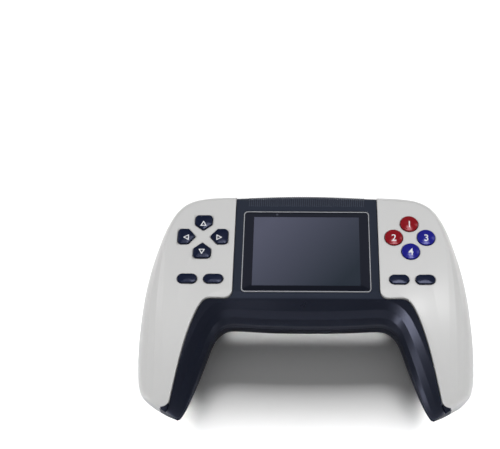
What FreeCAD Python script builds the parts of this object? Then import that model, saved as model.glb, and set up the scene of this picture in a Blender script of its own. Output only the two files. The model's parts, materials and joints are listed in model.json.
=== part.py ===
import FreeCAD, Part
import math
import os
import re
import Sketcher
from FreeCAD import Placement, Rotation, Vector

# Handheld game console with a wide screen between two swept grips.
# X runs to the player's right, Y towards the top edge and Z out of the face.
# The console lies on its back: z = 0 is the plane that the rear pods and the grips rest on.
# Plan places in the sheet are measured from the centre of the screen.
# Depths in the sheet are measured down from the face of the white plates.

SIZES = (
    # Overall form
    ("console_width", 186.0),
    ("face_height", 36.0),
    ("screen_line", 25.8),
    ("top_reach", 41.0),
    ("lip_reach", 44.0),
    ("tip_reach", 92.6),
    ("arch_half_width", 50.0),
    ("bend_start", 15.0),
    ("grip_drop", 25.5),
    ("ridge_depth", 13.0),
    ("ridge_tip_depth", 28.4),
    ("centre_depth", 30.0),
    ("pod_extra", 6.4),
    ("top_edge_roll", 5.5),
    ("side_roll", 17.0),
    ("lip_roll", 17.0),
    ("rear_roll", 11.0),
    ("tip_roll", 6.0),
    # Walls and running clearances
    ("plate_proud", 1.4),
    ("frame_wall", 2.2),
    ("rear_wall", 2.2),
    ("seat_gap", 0.1),
    ("panel_gap", 0.3),
    ("key_gap", 0.35),
    # White plate outline
    ("plate_inner_x", 41.4),
    ("plate_lower_y", 30.4),
    ("plate_corner", 4.6),
    # Screen
    ("display_width", 61.0),
    ("display_height", 45.7),
    ("lens_width", 71.8),
    ("lens_height", 52.4),
    ("lens_corner", 1.6),
    ("lens_thickness", 1.2),
    ("lens_depth", 1.6),
    ("trim_width", 0.5),
    ("lcd_width", 67.0),
    ("lcd_height", 52.0),
    ("lcd_thickness", 3.0),
    ("gasket_thickness", 0.4),
    # Keys
    ("cluster_x", 59.5),
    ("cluster_y", 8.1),
    ("key_spacing", 9.3),
    ("cluster_inset", 2.75),
    ("flange_gap", 1.0521861),
    ("dpad_width", 10.0),
    ("dpad_length", 10.2),
    ("dpad_point", 4.1),
    ("dpad_corner", 1.5),
    ("dpad_rise", 1.5),
    ("round_diameter", 10.3),
    ("round_rise", 1.7),
    ("pill_outer_x", 66.9),
    ("pill_inner_x", 52.2),
    ("pill_y", 19.4),
    ("pill_width", 10.9),
    ("pill_height", 5.7),
    ("pill_rise", 0.9),
    ("key_flange", 0.9),
    ("flange_thickness", 1.0),
    ("key_edge", 0.6),
    ("key_travel", 1.2),
    # Circuit board and what it carries
    ("board_depth", 8.6),
    ("board_thickness", 1.2),
    ("board_width", 146.0),
    ("board_height", 64.5),
    ("board_y", 1.25),
    ("board_corner", 14.0),
    ("membrane_thickness", 0.8),
    ("dome_diameter", 7.0),
    ("dome_gap", 0.4),
    # Space inside the housing
    ("room_width", 152.0),
    ("room_height", 66.5),
    ("room_depth", 22.0),
    ("deep_room_width", 140.0),
    ("deep_room_height", 61.0),
    # Posts and screws
    ("screw_diameter", 2.2),
    ("screw_head", 4.2),
    ("screw_length", 11.0),
    ("head_height", 1.4),
    ("board_post_diameter", 4.6),
    ("board_post_x", 38.6),
    ("board_post_y", 26.6),
    # Battery
    ("battery_width", 53.0),
    ("battery_height", 34.0),
    ("battery_thickness", 5.6),
    ("bay_y", -5.0),
    ("bay_wall", 1.5),
    ("door_side_margin", 4.0),
    ("door_end_margin", 3.5),
    ("door_thickness", 1.8),
    ("door_corner", 3.0),
    # Shoulder buttons
    ("shoulder_inner_x", 53.0),
    ("shoulder_outer_x", 74.0),
    ("shoulder_top_depth", 15.0),
    ("shoulder_low_depth", 23.0),
    ("shoulder_wall", 3.2),
    ("hinge_x", 49.4),
    ("hinge_y", 33.2),
    ("hinge_pin_diameter", 2.0),
    ("hinge_play", 0.05),
    # Speaker
    ("speaker_x", 60.0),
    ("speaker_y", -18.0),
    ("speaker_diameter", 20.0),
    ("speaker_thickness", 4.4),
    ("grille_slot", 1.4),
    ("grille_pitch", 3.2),
    ("grille_recess", 0.5),
    # Openings in the top edge
    ("window_depth", 16.0),
    ("port_x", 12.0),
    ("port_width", 7.6),
    ("port_height", 2.8),
    ("port_length", 8.4),
    ("jack_x", -8.0),
    ("jack_bore", 3.6),
    ("switch_x", -30.0),
    ("switch_travel", 3.0),
)

# Sizes that follow others. Neighbouring round keys stand on a diagonal, which is spacing * sqrt(2) long.
TIED_SIZES = (
    ("door_width", "battery_width + 2 * door_side_margin"),
    ("door_height", "battery_height + 2 * door_end_margin"),
    ("round_spacing", "(round_diameter + 2 * key_flange + flange_gap) / sqrt(2)"),
    ("round_x", "plate_inner_x + cluster_inset + key_flange + round_diameter / 2 + round_spacing"),
)

document = FreeCAD.newDocument("HandheldConsole")
sheet = document.addObject("Spreadsheet::Sheet", "Dimensions")
PARTS = []


def fill_sheet():
    """One row per dimension: its name, then the number or the formula with the name as its alias."""
    rows = [(alias, "%.9g" % value) for alias, value in SIZES]
    rows += [(alias, "=" + formula) for alias, formula in TIED_SIZES]
    for row, (alias, content) in enumerate(rows, start=1):
        sheet.set("A%d" % row, alias)
        sheet.set("B%d" % row, content)
        sheet.setAlias("B%d" % row, alias)
    document.recompute()


def size(alias):
    return float(getattr(sheet, alias))


ALIASES = [alias for alias, content in SIZES + TIED_SIZES]
ALIAS_PATTERN = re.compile(r"\b(" + "|".join(ALIASES) + r")\b")


def bind(thing, path, formula):
    """Tie a property to the sheet; the formula names the driving dimensions as plain words."""
    thing.setExpression(path, ALIAS_PATTERN.sub(r"Dimensions.\1", formula))


def keep(thing, label):
    """Give a sub-part the name that its file gets."""
    thing.Label = label
    PARTS.append(thing)
    return thing


def seat(thing, across, along, up, turn=0.0):
    """Place a sub-part by formulas; along is measured from the screen's centre line."""
    thing.Placement = Placement(Vector(0, 0, 0), Rotation(Vector(0, 0, 1), turn))
    bind(thing, "Placement.Base.x", across)
    bind(thing, "Placement.Base.y", "screen_line + " + along)
    bind(thing, "Placement.Base.z", up)


# Sketched bodies


def new_body(name):
    return document.addObject("PartDesign::Body", name)


def new_sketch(body, name, height="0", role="XY_Plane"):
    plane = [item for item in body.Origin.OriginFeatures if item.Role == role][0]
    sketch = body.newObject("Sketcher::SketchObject", name)
    sketch.AttachmentSupport = (plane, "")
    sketch.MapMode = "FlatFace"
    bind(sketch, "AttachmentOffset.Base.z", height)
    return sketch


def measure(sketch, name, formula, *constraint):
    """Add a named dimension to a sketch and tie it to the sheet."""
    index = sketch.addConstraint(Sketcher.Constraint(*constraint))
    sketch.renameConstraint(index, name)
    bind(sketch, "Constraints." + name, formula)


def value_of(formula):
    """Number that a formula has now, used only to draw a sketch close to its final shape."""
    names = {alias: size(alias) for alias in ALIASES}
    total = 0.0
    for term in formula.replace("- ", "+ -").split("+"):
        product = 1.0
        for factor in term.strip().split("*"):
            factor = factor.strip()
            sign = -1.0 if factor.startswith("-") else 1.0
            factor = factor.lstrip("-").strip()
            product *= sign * (names[factor] if factor in names else float(factor))
        total += product
    return total


def draw_rounded_rectangle(sketch, width, height, corner):
    """Rectangle with four equal corner arcs, centred on the sketch's origin."""
    half_w = value_of(width) / 2.0
    half_h = value_of(height) / 2.0
    radius = value_of(corner)
    inner_w = half_w - radius
    inner_h = half_h - radius
    corners = ((inner_w, inner_h), (-inner_w, inner_h), (-inner_w, -inner_h), (inner_w, -inner_h))
    arcs = []
    for number, (x, y) in enumerate(corners):
        circle = Part.Circle(Vector(x, y, 0), Vector(0, 0, 1), radius)
        start = number * math.pi / 2.0
        arcs.append(sketch.addGeometry(Part.ArcOfCircle(circle, start, start + math.pi / 2.0)))
    ends = (((inner_w, half_h), (-inner_w, half_h)), ((-half_w, inner_h), (-half_w, -inner_h)),
            ((-inner_w, -half_h), (inner_w, -half_h)), ((half_w, -inner_h), (half_w, inner_h)))
    lines = []
    for (x1, y1), (x2, y2) in ends:
        lines.append(sketch.addGeometry(Part.LineSegment(Vector(x1, y1, 0), Vector(x2, y2, 0))))
    for number in range(4):
        after = (number + 1) % 4
        sketch.addConstraint(Sketcher.Constraint("Tangent", arcs[number], 2, lines[number], 1))
        sketch.addConstraint(Sketcher.Constraint("Tangent", lines[number], 2, arcs[after], 1))
    for number in (1, 2, 3):
        sketch.addConstraint(Sketcher.Constraint("Equal", arcs[0], arcs[number]))
    sketch.addConstraint(Sketcher.Constraint("Horizontal", lines[0]))
    sketch.addConstraint(Sketcher.Constraint("Vertical", lines[1]))
    sketch.addConstraint(Sketcher.Constraint("Symmetric", arcs[0], 3, arcs[2], 3, -1, 1))
    measure(sketch, "Corner", corner, "Radius", arcs[0], radius)
    straight = "%s - 2 * (%s)"
    measure(sketch, "Width", straight % (width, corner), "DistanceX", arcs[1], 3, arcs[0], 3, 2 * inner_w)
    measure(sketch, "Height", straight % (height, corner), "DistanceY", arcs[3], 3, arcs[0], 3, 2 * inner_h)


def draw_circle(sketch, diameter):
    circle = sketch.addGeometry(Part.Circle(Vector(0, 0, 0), Vector(0, 0, 1), value_of(diameter) / 2.0))
    sketch.addConstraint(Sketcher.Constraint("Coincident", circle, 3, -1, 1))
    measure(sketch, "Diameter", diameter, "Diameter", circle, value_of(diameter))


def draw_slot(sketch, width, height):
    """Straight slot along X, its ends half circles."""
    radius = value_of(height) / 2.0
    reach = value_of(width) / 2.0 - radius
    quarter = math.pi / 2.0
    right = Part.Circle(Vector(reach, 0, 0), Vector(0, 0, 1), radius)
    left = Part.Circle(Vector(-reach, 0, 0), Vector(0, 0, 1), radius)
    right = sketch.addGeometry(Part.ArcOfCircle(right, -quarter, quarter))
    left = sketch.addGeometry(Part.ArcOfCircle(left, quarter, 3 * quarter))
    upper = sketch.addGeometry(Part.LineSegment(Vector(reach, radius, 0), Vector(-reach, radius, 0)))
    lower = sketch.addGeometry(Part.LineSegment(Vector(-reach, -radius, 0), Vector(reach, -radius, 0)))
    sketch.addConstraint(Sketcher.Constraint("Tangent", right, 2, upper, 1))
    sketch.addConstraint(Sketcher.Constraint("Tangent", upper, 2, left, 1))
    sketch.addConstraint(Sketcher.Constraint("Tangent", left, 2, lower, 1))
    sketch.addConstraint(Sketcher.Constraint("Tangent", lower, 2, right, 1))
    sketch.addConstraint(Sketcher.Constraint("Horizontal", upper))
    sketch.addConstraint(Sketcher.Constraint("Symmetric", right, 3, left, 3, -1, 1))
    measure(sketch, "Height", height, "Diameter", right, 2 * radius)
    measure(sketch, "Width", "%s - (%s)" % (width, height), "DistanceX", left, 3, right, 3, 2 * reach)


def draw_polygon(sketch, corners):
    """Closed outline whose corners are pairs of formulas, each corner measured from the origin."""
    places = [Vector(value_of(x), value_of(y), 0) for x, y in corners]
    count = len(places)
    lines = []
    for number in range(count):
        line = Part.LineSegment(places[number], places[(number + 1) % count])
        lines.append(sketch.addGeometry(line))
    for number in range(count):
        after = lines[(number + 1) % count]
        sketch.addConstraint(Sketcher.Constraint("Coincident", lines[number], 2, after, 1))
    for number, (x, y) in enumerate(corners):
        line = lines[number]
        if abs(places[number].x) < 1e-9:
            sketch.addConstraint(Sketcher.Constraint("PointOnObject", line, 1, -2))
        else:
            measure(sketch, "X%d" % number, x, "DistanceX", -1, 1, line, 1, places[number].x)
        if abs(places[number].y) < 1e-9:
            sketch.addConstraint(Sketcher.Constraint("PointOnObject", line, 1, -1))
        else:
            measure(sketch, "Y%d" % number, y, "DistanceY", -1, 1, line, 1, places[number].y)


def pad(body, sketch, length, name):
    feature = body.newObject("PartDesign::Pad", name)
    feature.Profile = sketch
    bind(feature, "Length", length)
    sketch.Visibility = False
    return feature


def pocket(body, sketch, length, name):
    """Cut downwards from the sketch by the given length."""
    feature = body.newObject("PartDesign::Pocket", name)
    feature.Profile = sketch
    bind(feature, "Length", length)
    return feature


def edges_at(shape, height, tolerance=1e-4):
    """Names of the edges that lie wholly at one height."""
    names = []
    for number, edge in enumerate(shape.Edges, start=1):
        box = edge.BoundBox
        if abs(box.ZMin - height) < tolerance and abs(box.ZMax - height) < tolerance:
            names.append("Edge%d" % number)
    return names


def corner_edges(shape, half_width, along):
    """Names of the two upright edges at the outer corners of an arrow key."""
    names = []
    for number, edge in enumerate(shape.Edges, start=1):
        box = edge.BoundBox
        upright = box.ZLength > 1e-3 and box.XLength < 1e-6 and box.YLength < 1e-6
        if upright and abs(abs(box.XMin) - half_width) < 1e-4 and abs(box.YMin - along) < 1e-4:
            names.append("Edge%d" % number)
    return names


def round_edges(body, base, edges, radius, name):
    feature = body.newObject("PartDesign::Fillet", name)
    feature.Base = (base, edges)
    bind(feature, "Radius", radius)
    return feature


def bevel_edges(body, base, edges, width, name):
    feature = body.newObject("PartDesign::Chamfer", name)
    feature.Base = (base, edges)
    bind(feature, "Size", width)
    return feature


def plate(name, width, height, corner, thickness):
    body = new_body(name)
    sketch = new_sketch(body, name + "_outline")
    draw_rounded_rectangle(sketch, width, height, corner)
    pad(body, sketch, thickness, name + "_plate")
    return body


def disc(name, diameter, thickness):
    body = new_body(name)
    sketch = new_sketch(body, name + "_outline")
    draw_circle(sketch, diameter)
    pad(body, sketch, thickness, name + "_disc")
    return body


def block(name, length, width, height):
    """Plain block centred in plan, from its base upwards."""
    thing = document.addObject("Part::Box", name)
    bind(thing, "Length", length)
    bind(thing, "Width", width)
    bind(thing, "Height", height)
    return thing


def seat_block(thing, length, width, across, along, up):
    """Place a block by the middle of its base."""
    seat(thing, across + " - (" + length + ") / 2", along + " - (" + width + ") / 2", up)


def placed_block(name, length, width, height, across, along, up):
    thing = block(name, length, width, height)
    seat_block(thing, length, width, across, along, up)
    return thing


def rod(name, diameter, height, across, along, up):
    """Upright cylinder standing on its base."""
    thing = document.addObject("Part::Cylinder", name)
    bind(thing, "Radius", "(" + diameter + ") / 2")
    bind(thing, "Height", height)
    seat(thing, across, along, up)
    return thing


def join(name, things):
    thing = document.addObject("Part::MultiFuse", name)
    thing.Shapes = things
    return thing


def group(name, things):
    """Several separate solids kept as one node."""
    thing = document.addObject("Part::Compound", name)
    thing.Links = things
    return thing


def cut(name, base, tool):
    thing = document.addObject("Part::Cut", name)
    thing.Base = base
    thing.Tool = tool
    return thing


def cut_in_turn(name, base, tools):
    """Cut one tool after another."""
    for number, tool in enumerate(tools[:-1]):
        base = cut("%s_cut_%d" % (name, number), base, tool)
    return cut(name, base, tools[-1])


def shared(name, things):
    thing = document.addObject("Part::MultiCommon", name)
    thing.Shapes = things
    return thing


def free_form(name, shape):
    thing = document.addObject("Part::Feature", name)
    thing.Shape = shape
    return thing


# Moulded skin
# The console is a pillow of two smooth patches that meet along its widest line, the ridge.
# Sections run from the outer side to the inner side, in a fan round each end of the arch.

# Outer side from the top centre to the tip: share of the half width, share of the reach.
OUTER_LINE = (
    (0.0, 1.0), (0.215, 0.988), (0.41, 0.962), (0.58, 0.952), (0.71, 0.915), (0.81, 0.775),
    (0.885, 0.465), (0.937, 0.047), (0.975, -0.173), (0.996, -0.392), (1.0, -0.57), (0.998, -0.70),
    (0.991, -0.79), (0.978, -0.847), (0.954, -0.875),
)
# Inner side from the bridge to the tip: share of the arch's half width, then distance below the
# bridge's lip as a share of the way from the lip to the tip.
INNER_LINE = (
    (0.0, 0.0), (0.36, -0.002), (0.64, -0.018), (0.80, -0.031), (0.885, -0.022), (0.952, 0.017),
    (1.004, 0.075), (1.044, 0.164), (1.08, 0.281), (1.126, 0.429), (1.184, 0.596), (1.248, 0.760),
    (1.306, 0.888), (1.352, 0.967), (1.40, 1.0),
)
SECTION_STEPS = 13
TIP_STEPS = 3
ROLL_STEPS = 5
CROWN_STEPS = 2
# Share of the fan's parameter that lies on the grip.
GRIP_SHARE = 0.45


def smooth_step(value, low, high):
    share = min(1.0, max(0.0, (value - low) / (high - low)))
    return share * share * (3.0 - 2.0 * share)


def bend_share(y):
    """Zero over the flat face, one at the tips, with a steady curve between."""
    below = max(0.0, -size("bend_start") - y)
    return (below / (size("tip_reach") - size("bend_start"))) ** 2


def crest_height(y):
    return -size("grip_drop") * bend_share(y)


def ridge_height(y):
    fall = size("ridge_tip_depth") - size("ridge_depth")
    return -size("ridge_depth") - fall * bend_share(y)


def under_height(x, y):
    """Rear surface: flat in the middle, deeper under the shoulders and under the grips."""
    side = smooth_step(abs(x), 42.0, 54.0)
    upper = smooth_step(y, -4.0, 12.0)
    lower = smooth_step(-y, 30.0, 64.0)
    return -size("centre_depth") - size("pod_extra") * side * max(upper, lower)


def outer_curve():
    """Half of the widest line on the outer side, as a curve of the fan's parameter."""
    half = size("console_width") / 2.0
    places = []
    for across, along in OUTER_LINE:
        reach = size("top_reach") if along > 0 else size("tip_reach")
        places.append(Vector(half * across, reach * along, 0))
    return fan_curve(places)


def inner_curve():
    lip = size("lip_reach")
    fall = size("tip_reach") - lip
    half = size("arch_half_width")
    return fan_curve([Vector(half * across, -lip - fall * along, 0) for across, along in INNER_LINE])


def fan_curve(places):
    curve = Part.BSplineCurve()
    count = len(places) - 1
    parameters = [number / count for number in range(count + 1)]
    curve.interpolate(Points=places, Parameters=parameters)
    return curve


def fan_parameters():
    """Even steps along the half console, then closer ones over the rounded tip."""
    tip_share = GRIP_SHARE * size("tip_roll") / (size("tip_reach") - size("lip_reach"))
    steady = [((1.0 - tip_share) * number / SECTION_STEPS, 1.0) for number in range(SECTION_STEPS)]
    rounded = []
    for number in range(TIP_STEPS + 1):
        angle = math.pi / 2.0 * number / TIP_STEPS
        rounded.append((1.0 - tip_share * (1.0 - math.sin(angle)), math.cos(angle)))
    return steady + rounded


def roll_places(width_start, width_end, length):
    """Places along a section with its rise: rounded start, crown, rounded end."""
    scale = min(1.0, 0.96 * length / (width_start + width_end))
    first = width_start * scale
    last = width_end * scale
    places = []
    for number in range(ROLL_STEPS + 1):
        angle = math.pi / 2.0 * number / ROLL_STEPS
        places.append((first * (1.0 - math.cos(angle)), math.sin(angle)))
    for number in range(1, CROWN_STEPS):
        places.append((first + (length - first - last) * number / CROWN_STEPS, 1.0))
    for number in range(ROLL_STEPS, -1, -1):
        angle = math.pi / 2.0 * number / ROLL_STEPS
        places.append((length - last * (1.0 - math.cos(angle)), math.sin(angle)))
    return places


def skin_rows(face_inset):
    """Rows of points of the upper and the lower half of the pillow, over the whole console."""
    outer = outer_curve()
    inner = inner_curve()
    halves = ([], [])
    for place, tip_rise in fan_parameters():
        start = outer.value(place)
        line = inner.value(place).sub(start)
        length = line.Length
        line.normalize()
        on_grip = smooth_step(-start.y, -32.0, 20.0)
        outer_roll = size("top_edge_roll") + (size("side_roll") - size("top_edge_roll")) * on_grip
        for half, first_roll, last_roll in ((0, outer_roll, size("lip_roll")),
                                            (1, size("rear_roll"), size("rear_roll"))):
            row = []
            places = roll_places(first_roll, last_roll, length)
            for number, (distance, rise) in enumerate(places):
                even = length * number / (len(places) - 1)
                point = start.add(Vector(line).multiply(even + (distance - even) * tip_rise))
                ridge = ridge_height(point.y)
                goal = crest_height(point.y) - face_inset
                if half == 1:
                    goal = under_height(point.x, point.y)
                share = rise * tip_rise
                if half == 1:
                    share *= tip_rise
                height = ridge + (goal - ridge) * share
                row.append(in_frame(point.x, point.y, height))
            halves[half].append(row)
    return mirrored(halves[0]), mirrored(halves[1])


def in_frame(across, along, height):
    """Point measured from the screen's centre and the face, in the console's own frame."""
    return Vector(across, along + size("screen_line"), height + size("face_height"))


def mirrored(rows):
    """The left half is the mirror image of the right half; the middle row is shared."""
    left = [[Vector(-point.x, point.y, point.z) for point in row] for row in reversed(rows[1:])]
    return left + rows


def long_curve(points):
    """Clamped cubic spline with these control points."""
    spans = len(points) - 3
    knots = [float(number) for number in range(spans + 1)]
    mults = [4] + [1] * (spans - 1) + [4]
    curve = Part.BSplineCurve()
    curve.buildFromPolesMultsKnots(points, mults, knots, False, 3)
    return curve.toShape()


def long_strips(rows):
    """Ruled faces between neighbouring long curves, from the outer ridge to the inner ridge."""
    curves = [long_curve(list(column)) for column in zip(*rows)]
    return [Part.makeRuledSurface(before, after) for before, after in zip(curves, curves[1:])]


def closed_solid(faces):
    """Sew faces that share their borders into one solid."""
    skin = Part.makeCompound(faces)
    skin.sewShape()
    solid = Part.makeSolid(skin.Shells[0])
    if solid.Volume < 0:
        solid.reverse()
    return solid


def smooth_skin(face_inset):
    upper, lower = skin_rows(face_inset)
    return closed_solid(long_strips(upper) + long_strips(lower))


def above_parting(lift):
    """Everything above the parting surface, which is flat under the face and bends with the grips."""
    start = -size("bend_start")
    end = -size("tip_reach") - 16.0
    level = -size("ridge_depth") + lift
    beyond = size("console_width") / 2.0 + 20.0
    fall = size("ridge_tip_depth") - size("ridge_depth")
    low = level - fall * bend_share(end)
    far = size("top_reach") + 16.0
    bend = Part.BezierCurve()
    bend.setPoles([in_frame(-beyond, start, level), in_frame(-beyond, (start + end) / 2.0, level),
                   in_frame(-beyond, end, low)])
    corners = [in_frame(-beyond, end, low), in_frame(-beyond, end, 20.0), in_frame(-beyond, far, 20.0),
               in_frame(-beyond, far, level), in_frame(-beyond, start, level)]
    face = Part.Face(Part.Wire([bend.toShape()] + Part.makePolygon(corners).Edges))
    return face.extrude(Vector(2.0 * beyond, 0, 0))


def moulded_skins():
    """Blanks of the white plates, the front frame and the rear shell."""
    whole = smooth_skin(0.0)
    lowered = smooth_skin(size("plate_proud"))
    front_tool = above_parting(0.5)
    return {
        "plate_blank": whole.common(front_tool),
        "rear_blank": whole.cut(above_parting(0.5 - size("seat_gap"))),
        "frame_blank": lowered.common(front_tool),
        "whole": whole,
    }


# Rise of the slanted end of a grip for each step outwards.
END_SLOPE = 0.62


def plate_outline(side, grow):
    """Plan of one white plate, wide of the console everywhere but along its inner edge and its end."""
    inner = size("plate_inner_x") - grow
    lower = -size("plate_lower_y") - grow
    corner = size("plate_corner")
    bend = 1.0 - math.sqrt(0.5)
    beyond = size("console_width") / 2.0 + 6.0
    start = Vector(inner, size("top_reach") + 6.0, 0)
    corner_start = Vector(inner, lower + corner, 0)
    corner_end = Vector(inner + corner, lower, 0)
    corner_middle = Vector(inner + corner * bend, lower + corner * bend, 0)
    turn_start = Vector(inner + 11.0, lower, 0)
    seam = (turn_start, Vector(inner + 14.6, lower, 0),
            Vector(inner + 17.0, lower - 2.4, 0), Vector(inner + 19.6, lower - 7.0, 0),
            Vector(inner + 23.2, lower - 16.2, 0), Vector(inner + 26.3, lower - 26.4, 0),
            Vector(inner + 28.9, lower - 36.6, 0), Vector(inner + 31.2, lower - 46.4, 0),
            Vector(inner + 33.7, lower - 56.5, 0))
    end_corner = Vector(inner + 34.85 + 0.2 * grow, lower - 57.8 - 0.4 * grow, 0)
    end_start = Vector(inner + 36.55 + 0.4 * grow, lower - 57.7 - 0.6 * grow, 0)
    end_side = Vector(beyond, end_start.y + END_SLOPE * (beyond - end_start.x), 0)
    edges = [
        Part.LineSegment(start, corner_start).toShape(),
        Part.Arc(corner_start, corner_middle, corner_end).toShape(),
        Part.LineSegment(corner_end, turn_start).toShape(),
        long_curve(list(seam)),
        Part.Arc(seam[-1], end_corner, end_start).toShape(),
        Part.LineSegment(end_start, end_side).toShape(),
        Part.LineSegment(end_side, Vector(beyond, start.y, 0)).toShape(),
        Part.LineSegment(Vector(beyond, start.y, 0), start).toShape(),
    ]
    face = Part.Face(Part.Wire(edges))
    prism = face.extrude(Vector(0, 0, size("face_height") + 10.0))
    prism.translate(Vector(0, size("screen_line"), -2.0))
    if side < 0:
        prism = prism.mirror(Vector(0, 0, 0), Vector(1, 0, 0))
    return prism


# Keys


def key_outline(sketch, kind, grow):
    """Plan of one key, grown all round by a formula."""
    if kind == "round":
        draw_circle(sketch, "round_diameter + 2 * " + grow)
    elif kind == "pill":
        draw_slot(sketch, "pill_width + 2 * " + grow, "pill_height + 2 * " + grow)
    else:
        half = "0.5 * dpad_width + " + grow
        outer = "0.5 * dpad_length + " + grow
        shoulder = "dpad_point - 0.5 * dpad_length - 0.5 * " + grow
        point = "-0.5 * dpad_length - 1.4 * " + grow
        low_half = "-0.5 * dpad_width - " + grow
        draw_polygon(sketch, ((half, outer), (low_half, outer), (low_half, shoulder),
                              ("0", point), (half, shoulder)))


def key_body(name, kind, rise):
    """Crown standing above the plate on a flange that is trapped under the front frame."""
    body = new_body(name)
    flange_sketch = new_sketch(body, name + "_flange_outline")
    key_outline(flange_sketch, kind, "key_flange")
    flange = pad(body, flange_sketch, "flange_thickness", name + "_flange")
    crown_sketch = new_sketch(body, name + "_crown_outline")
    key_outline(crown_sketch, kind, "0 * key_gap")
    reach = "flange_thickness + seat_gap + frame_wall + plate_proud + " + rise
    crown = pad(body, crown_sketch, reach, name + "_crown")
    document.recompute()
    if kind == "dpad":
        corners = corner_edges(crown.Shape, size("dpad_width") / 2.0, size("dpad_length") / 2.0)
        crown = round_edges(body, crown, corners, "dpad_corner", name + "_corners")
        document.recompute()
    top = value_of(reach)
    bevel_edges(body, crown, edges_at(crown.Shape, top), "key_edge", name + "_edge")
    return body


def key_opening(name, kind):
    """Space that a key moves in: its outline with the running gap all round."""
    body = new_body(name)
    sketch = new_sketch(body, name + "_outline")
    key_outline(sketch, kind, "key_gap")
    pad(body, sketch, "plate_proud + frame_wall + 6", name + "_space")
    return body


DPAD_KEYS = (("dpad_up_key", 0, 1, 0), ("dpad_left_key", -1, 0, 90),
             ("dpad_down_key", 0, -1, 180), ("dpad_right_key", 1, 0, 270))
ROUND_KEYS = (("action_button_1", 0, 1, 0), ("action_button_2", -1, 0, 0),
              ("action_button_3", 1, 0, 0), ("action_button_4", 0, -1, 0))
PILL_KEYS = (("left_outer_pill_key", -1, "pill_outer_x"), ("left_inner_pill_key", -1, "pill_inner_x"),
             ("right_inner_pill_key", 1, "pill_inner_x"), ("right_outer_pill_key", 1, "pill_outer_x"))
# Side, middle and spacing of the arrow keys and of the round keys.
CLUSTERS = ((-1, "cluster_x", "key_spacing"), (1, "round_x", "round_spacing"))
KEY_BASE = "face_height - plate_proud - frame_wall - seat_gap - flange_thickness"
OPENING_BASE = "face_height - plate_proud - frame_wall - 3"


def key_places():
    """Name, kind, side, rise and place of each key."""
    places = []
    for (side, middle, spacing), keys, kind, rise in ((CLUSTERS[0], DPAD_KEYS, "dpad", "dpad_rise"),
                                                      (CLUSTERS[1], ROUND_KEYS, "round", "round_rise")):
        for name, right, up, turn in keys:
            across = "%d * %s + %d * %s" % (side, middle, right, spacing)
            along = "cluster_y + %d * %s" % (up, spacing)
            places.append((name, kind, side, rise, across, along, turn))
    for name, side, place in PILL_KEYS:
        across = "%d * %s" % (side, place)
        places.append((name, "pill", side, "pill_rise", across, "(-1) * pill_y", 0))
    return places


def make_keys():
    """The twelve face keys, and the openings cut for each side."""
    openings = {-1: [], 1: []}
    for name, kind, side, rise, across, along, turn in key_places():
        key = keep(key_body(name, kind, rise), name)
        seat(key, across, along, KEY_BASE, turn)
        opening = key_opening(name + "_opening", kind)
        seat(opening, across, along, OPENING_BASE, turn)
        openings[side].append(opening)
    return openings


# Screen


def make_screen():
    """Lens in its bright trim, with the display, its gasket and the foam that backs it."""
    lens = keep(plate("screen_lens", "lens_width", "lens_height", "lens_corner", "lens_thickness"),
                "screen_lens")
    seat(lens, "0", "0", "face_height - lens_depth - lens_thickness")

    trim = new_body("lens_trim")
    outline = new_sketch(trim, "lens_trim_outline")
    draw_rounded_rectangle(outline, "lens_width + 0.2 + 2 * trim_width",
                           "lens_height + 0.2 + 2 * trim_width", "lens_corner + trim_width")
    pad(trim, outline, "lens_thickness + 0.1", "lens_trim_ring")
    hole = new_sketch(trim, "lens_trim_hole", "lens_thickness + 0.1")
    draw_rounded_rectangle(hole, "lens_width + 0.2", "lens_height + 0.2", "lens_corner + 0.1")
    pocket(trim, hole, "lens_thickness + 0.1", "lens_trim_inside")
    keep(trim, "lens_trim")
    seat(trim, "0", "0", "face_height - lens_depth - lens_thickness")

    gasket = new_body("lcd_gasket")
    outline = new_sketch(gasket, "lcd_gasket_outline")
    draw_rounded_rectangle(outline, "lcd_width", "lcd_height", "lens_corner")
    pad(gasket, outline, "gasket_thickness", "lcd_gasket_ring")
    hole = new_sketch(gasket, "lcd_gasket_hole", "gasket_thickness")
    draw_rounded_rectangle(hole, "display_width + 1", "display_height + 1", "0.5")
    pocket(gasket, hole, "gasket_thickness", "lcd_gasket_inside")
    keep(gasket, "lcd_gasket")
    seat(gasket, "0", "0", "face_height - plate_proud - frame_wall - gasket_thickness")

    module = keep(plate("lcd_module", "lcd_width", "lcd_height", "1", "lcd_thickness"), "lcd_module")
    seat(module, "0", "0", LCD_BASE)
    foam = keep(plate("lcd_foam_pad", "display_width", "display_height - 6", "2", FOAM_THICKNESS),
                "lcd_foam_pad")
    seat(foam, "0", "1", "face_height - board_depth")


LCD_BASE = "face_height - plate_proud - frame_wall - gasket_thickness - lcd_thickness"
FOAM_THICKNESS = "board_depth - plate_proud - frame_wall - gasket_thickness - lcd_thickness"


# Circuit board


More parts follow.
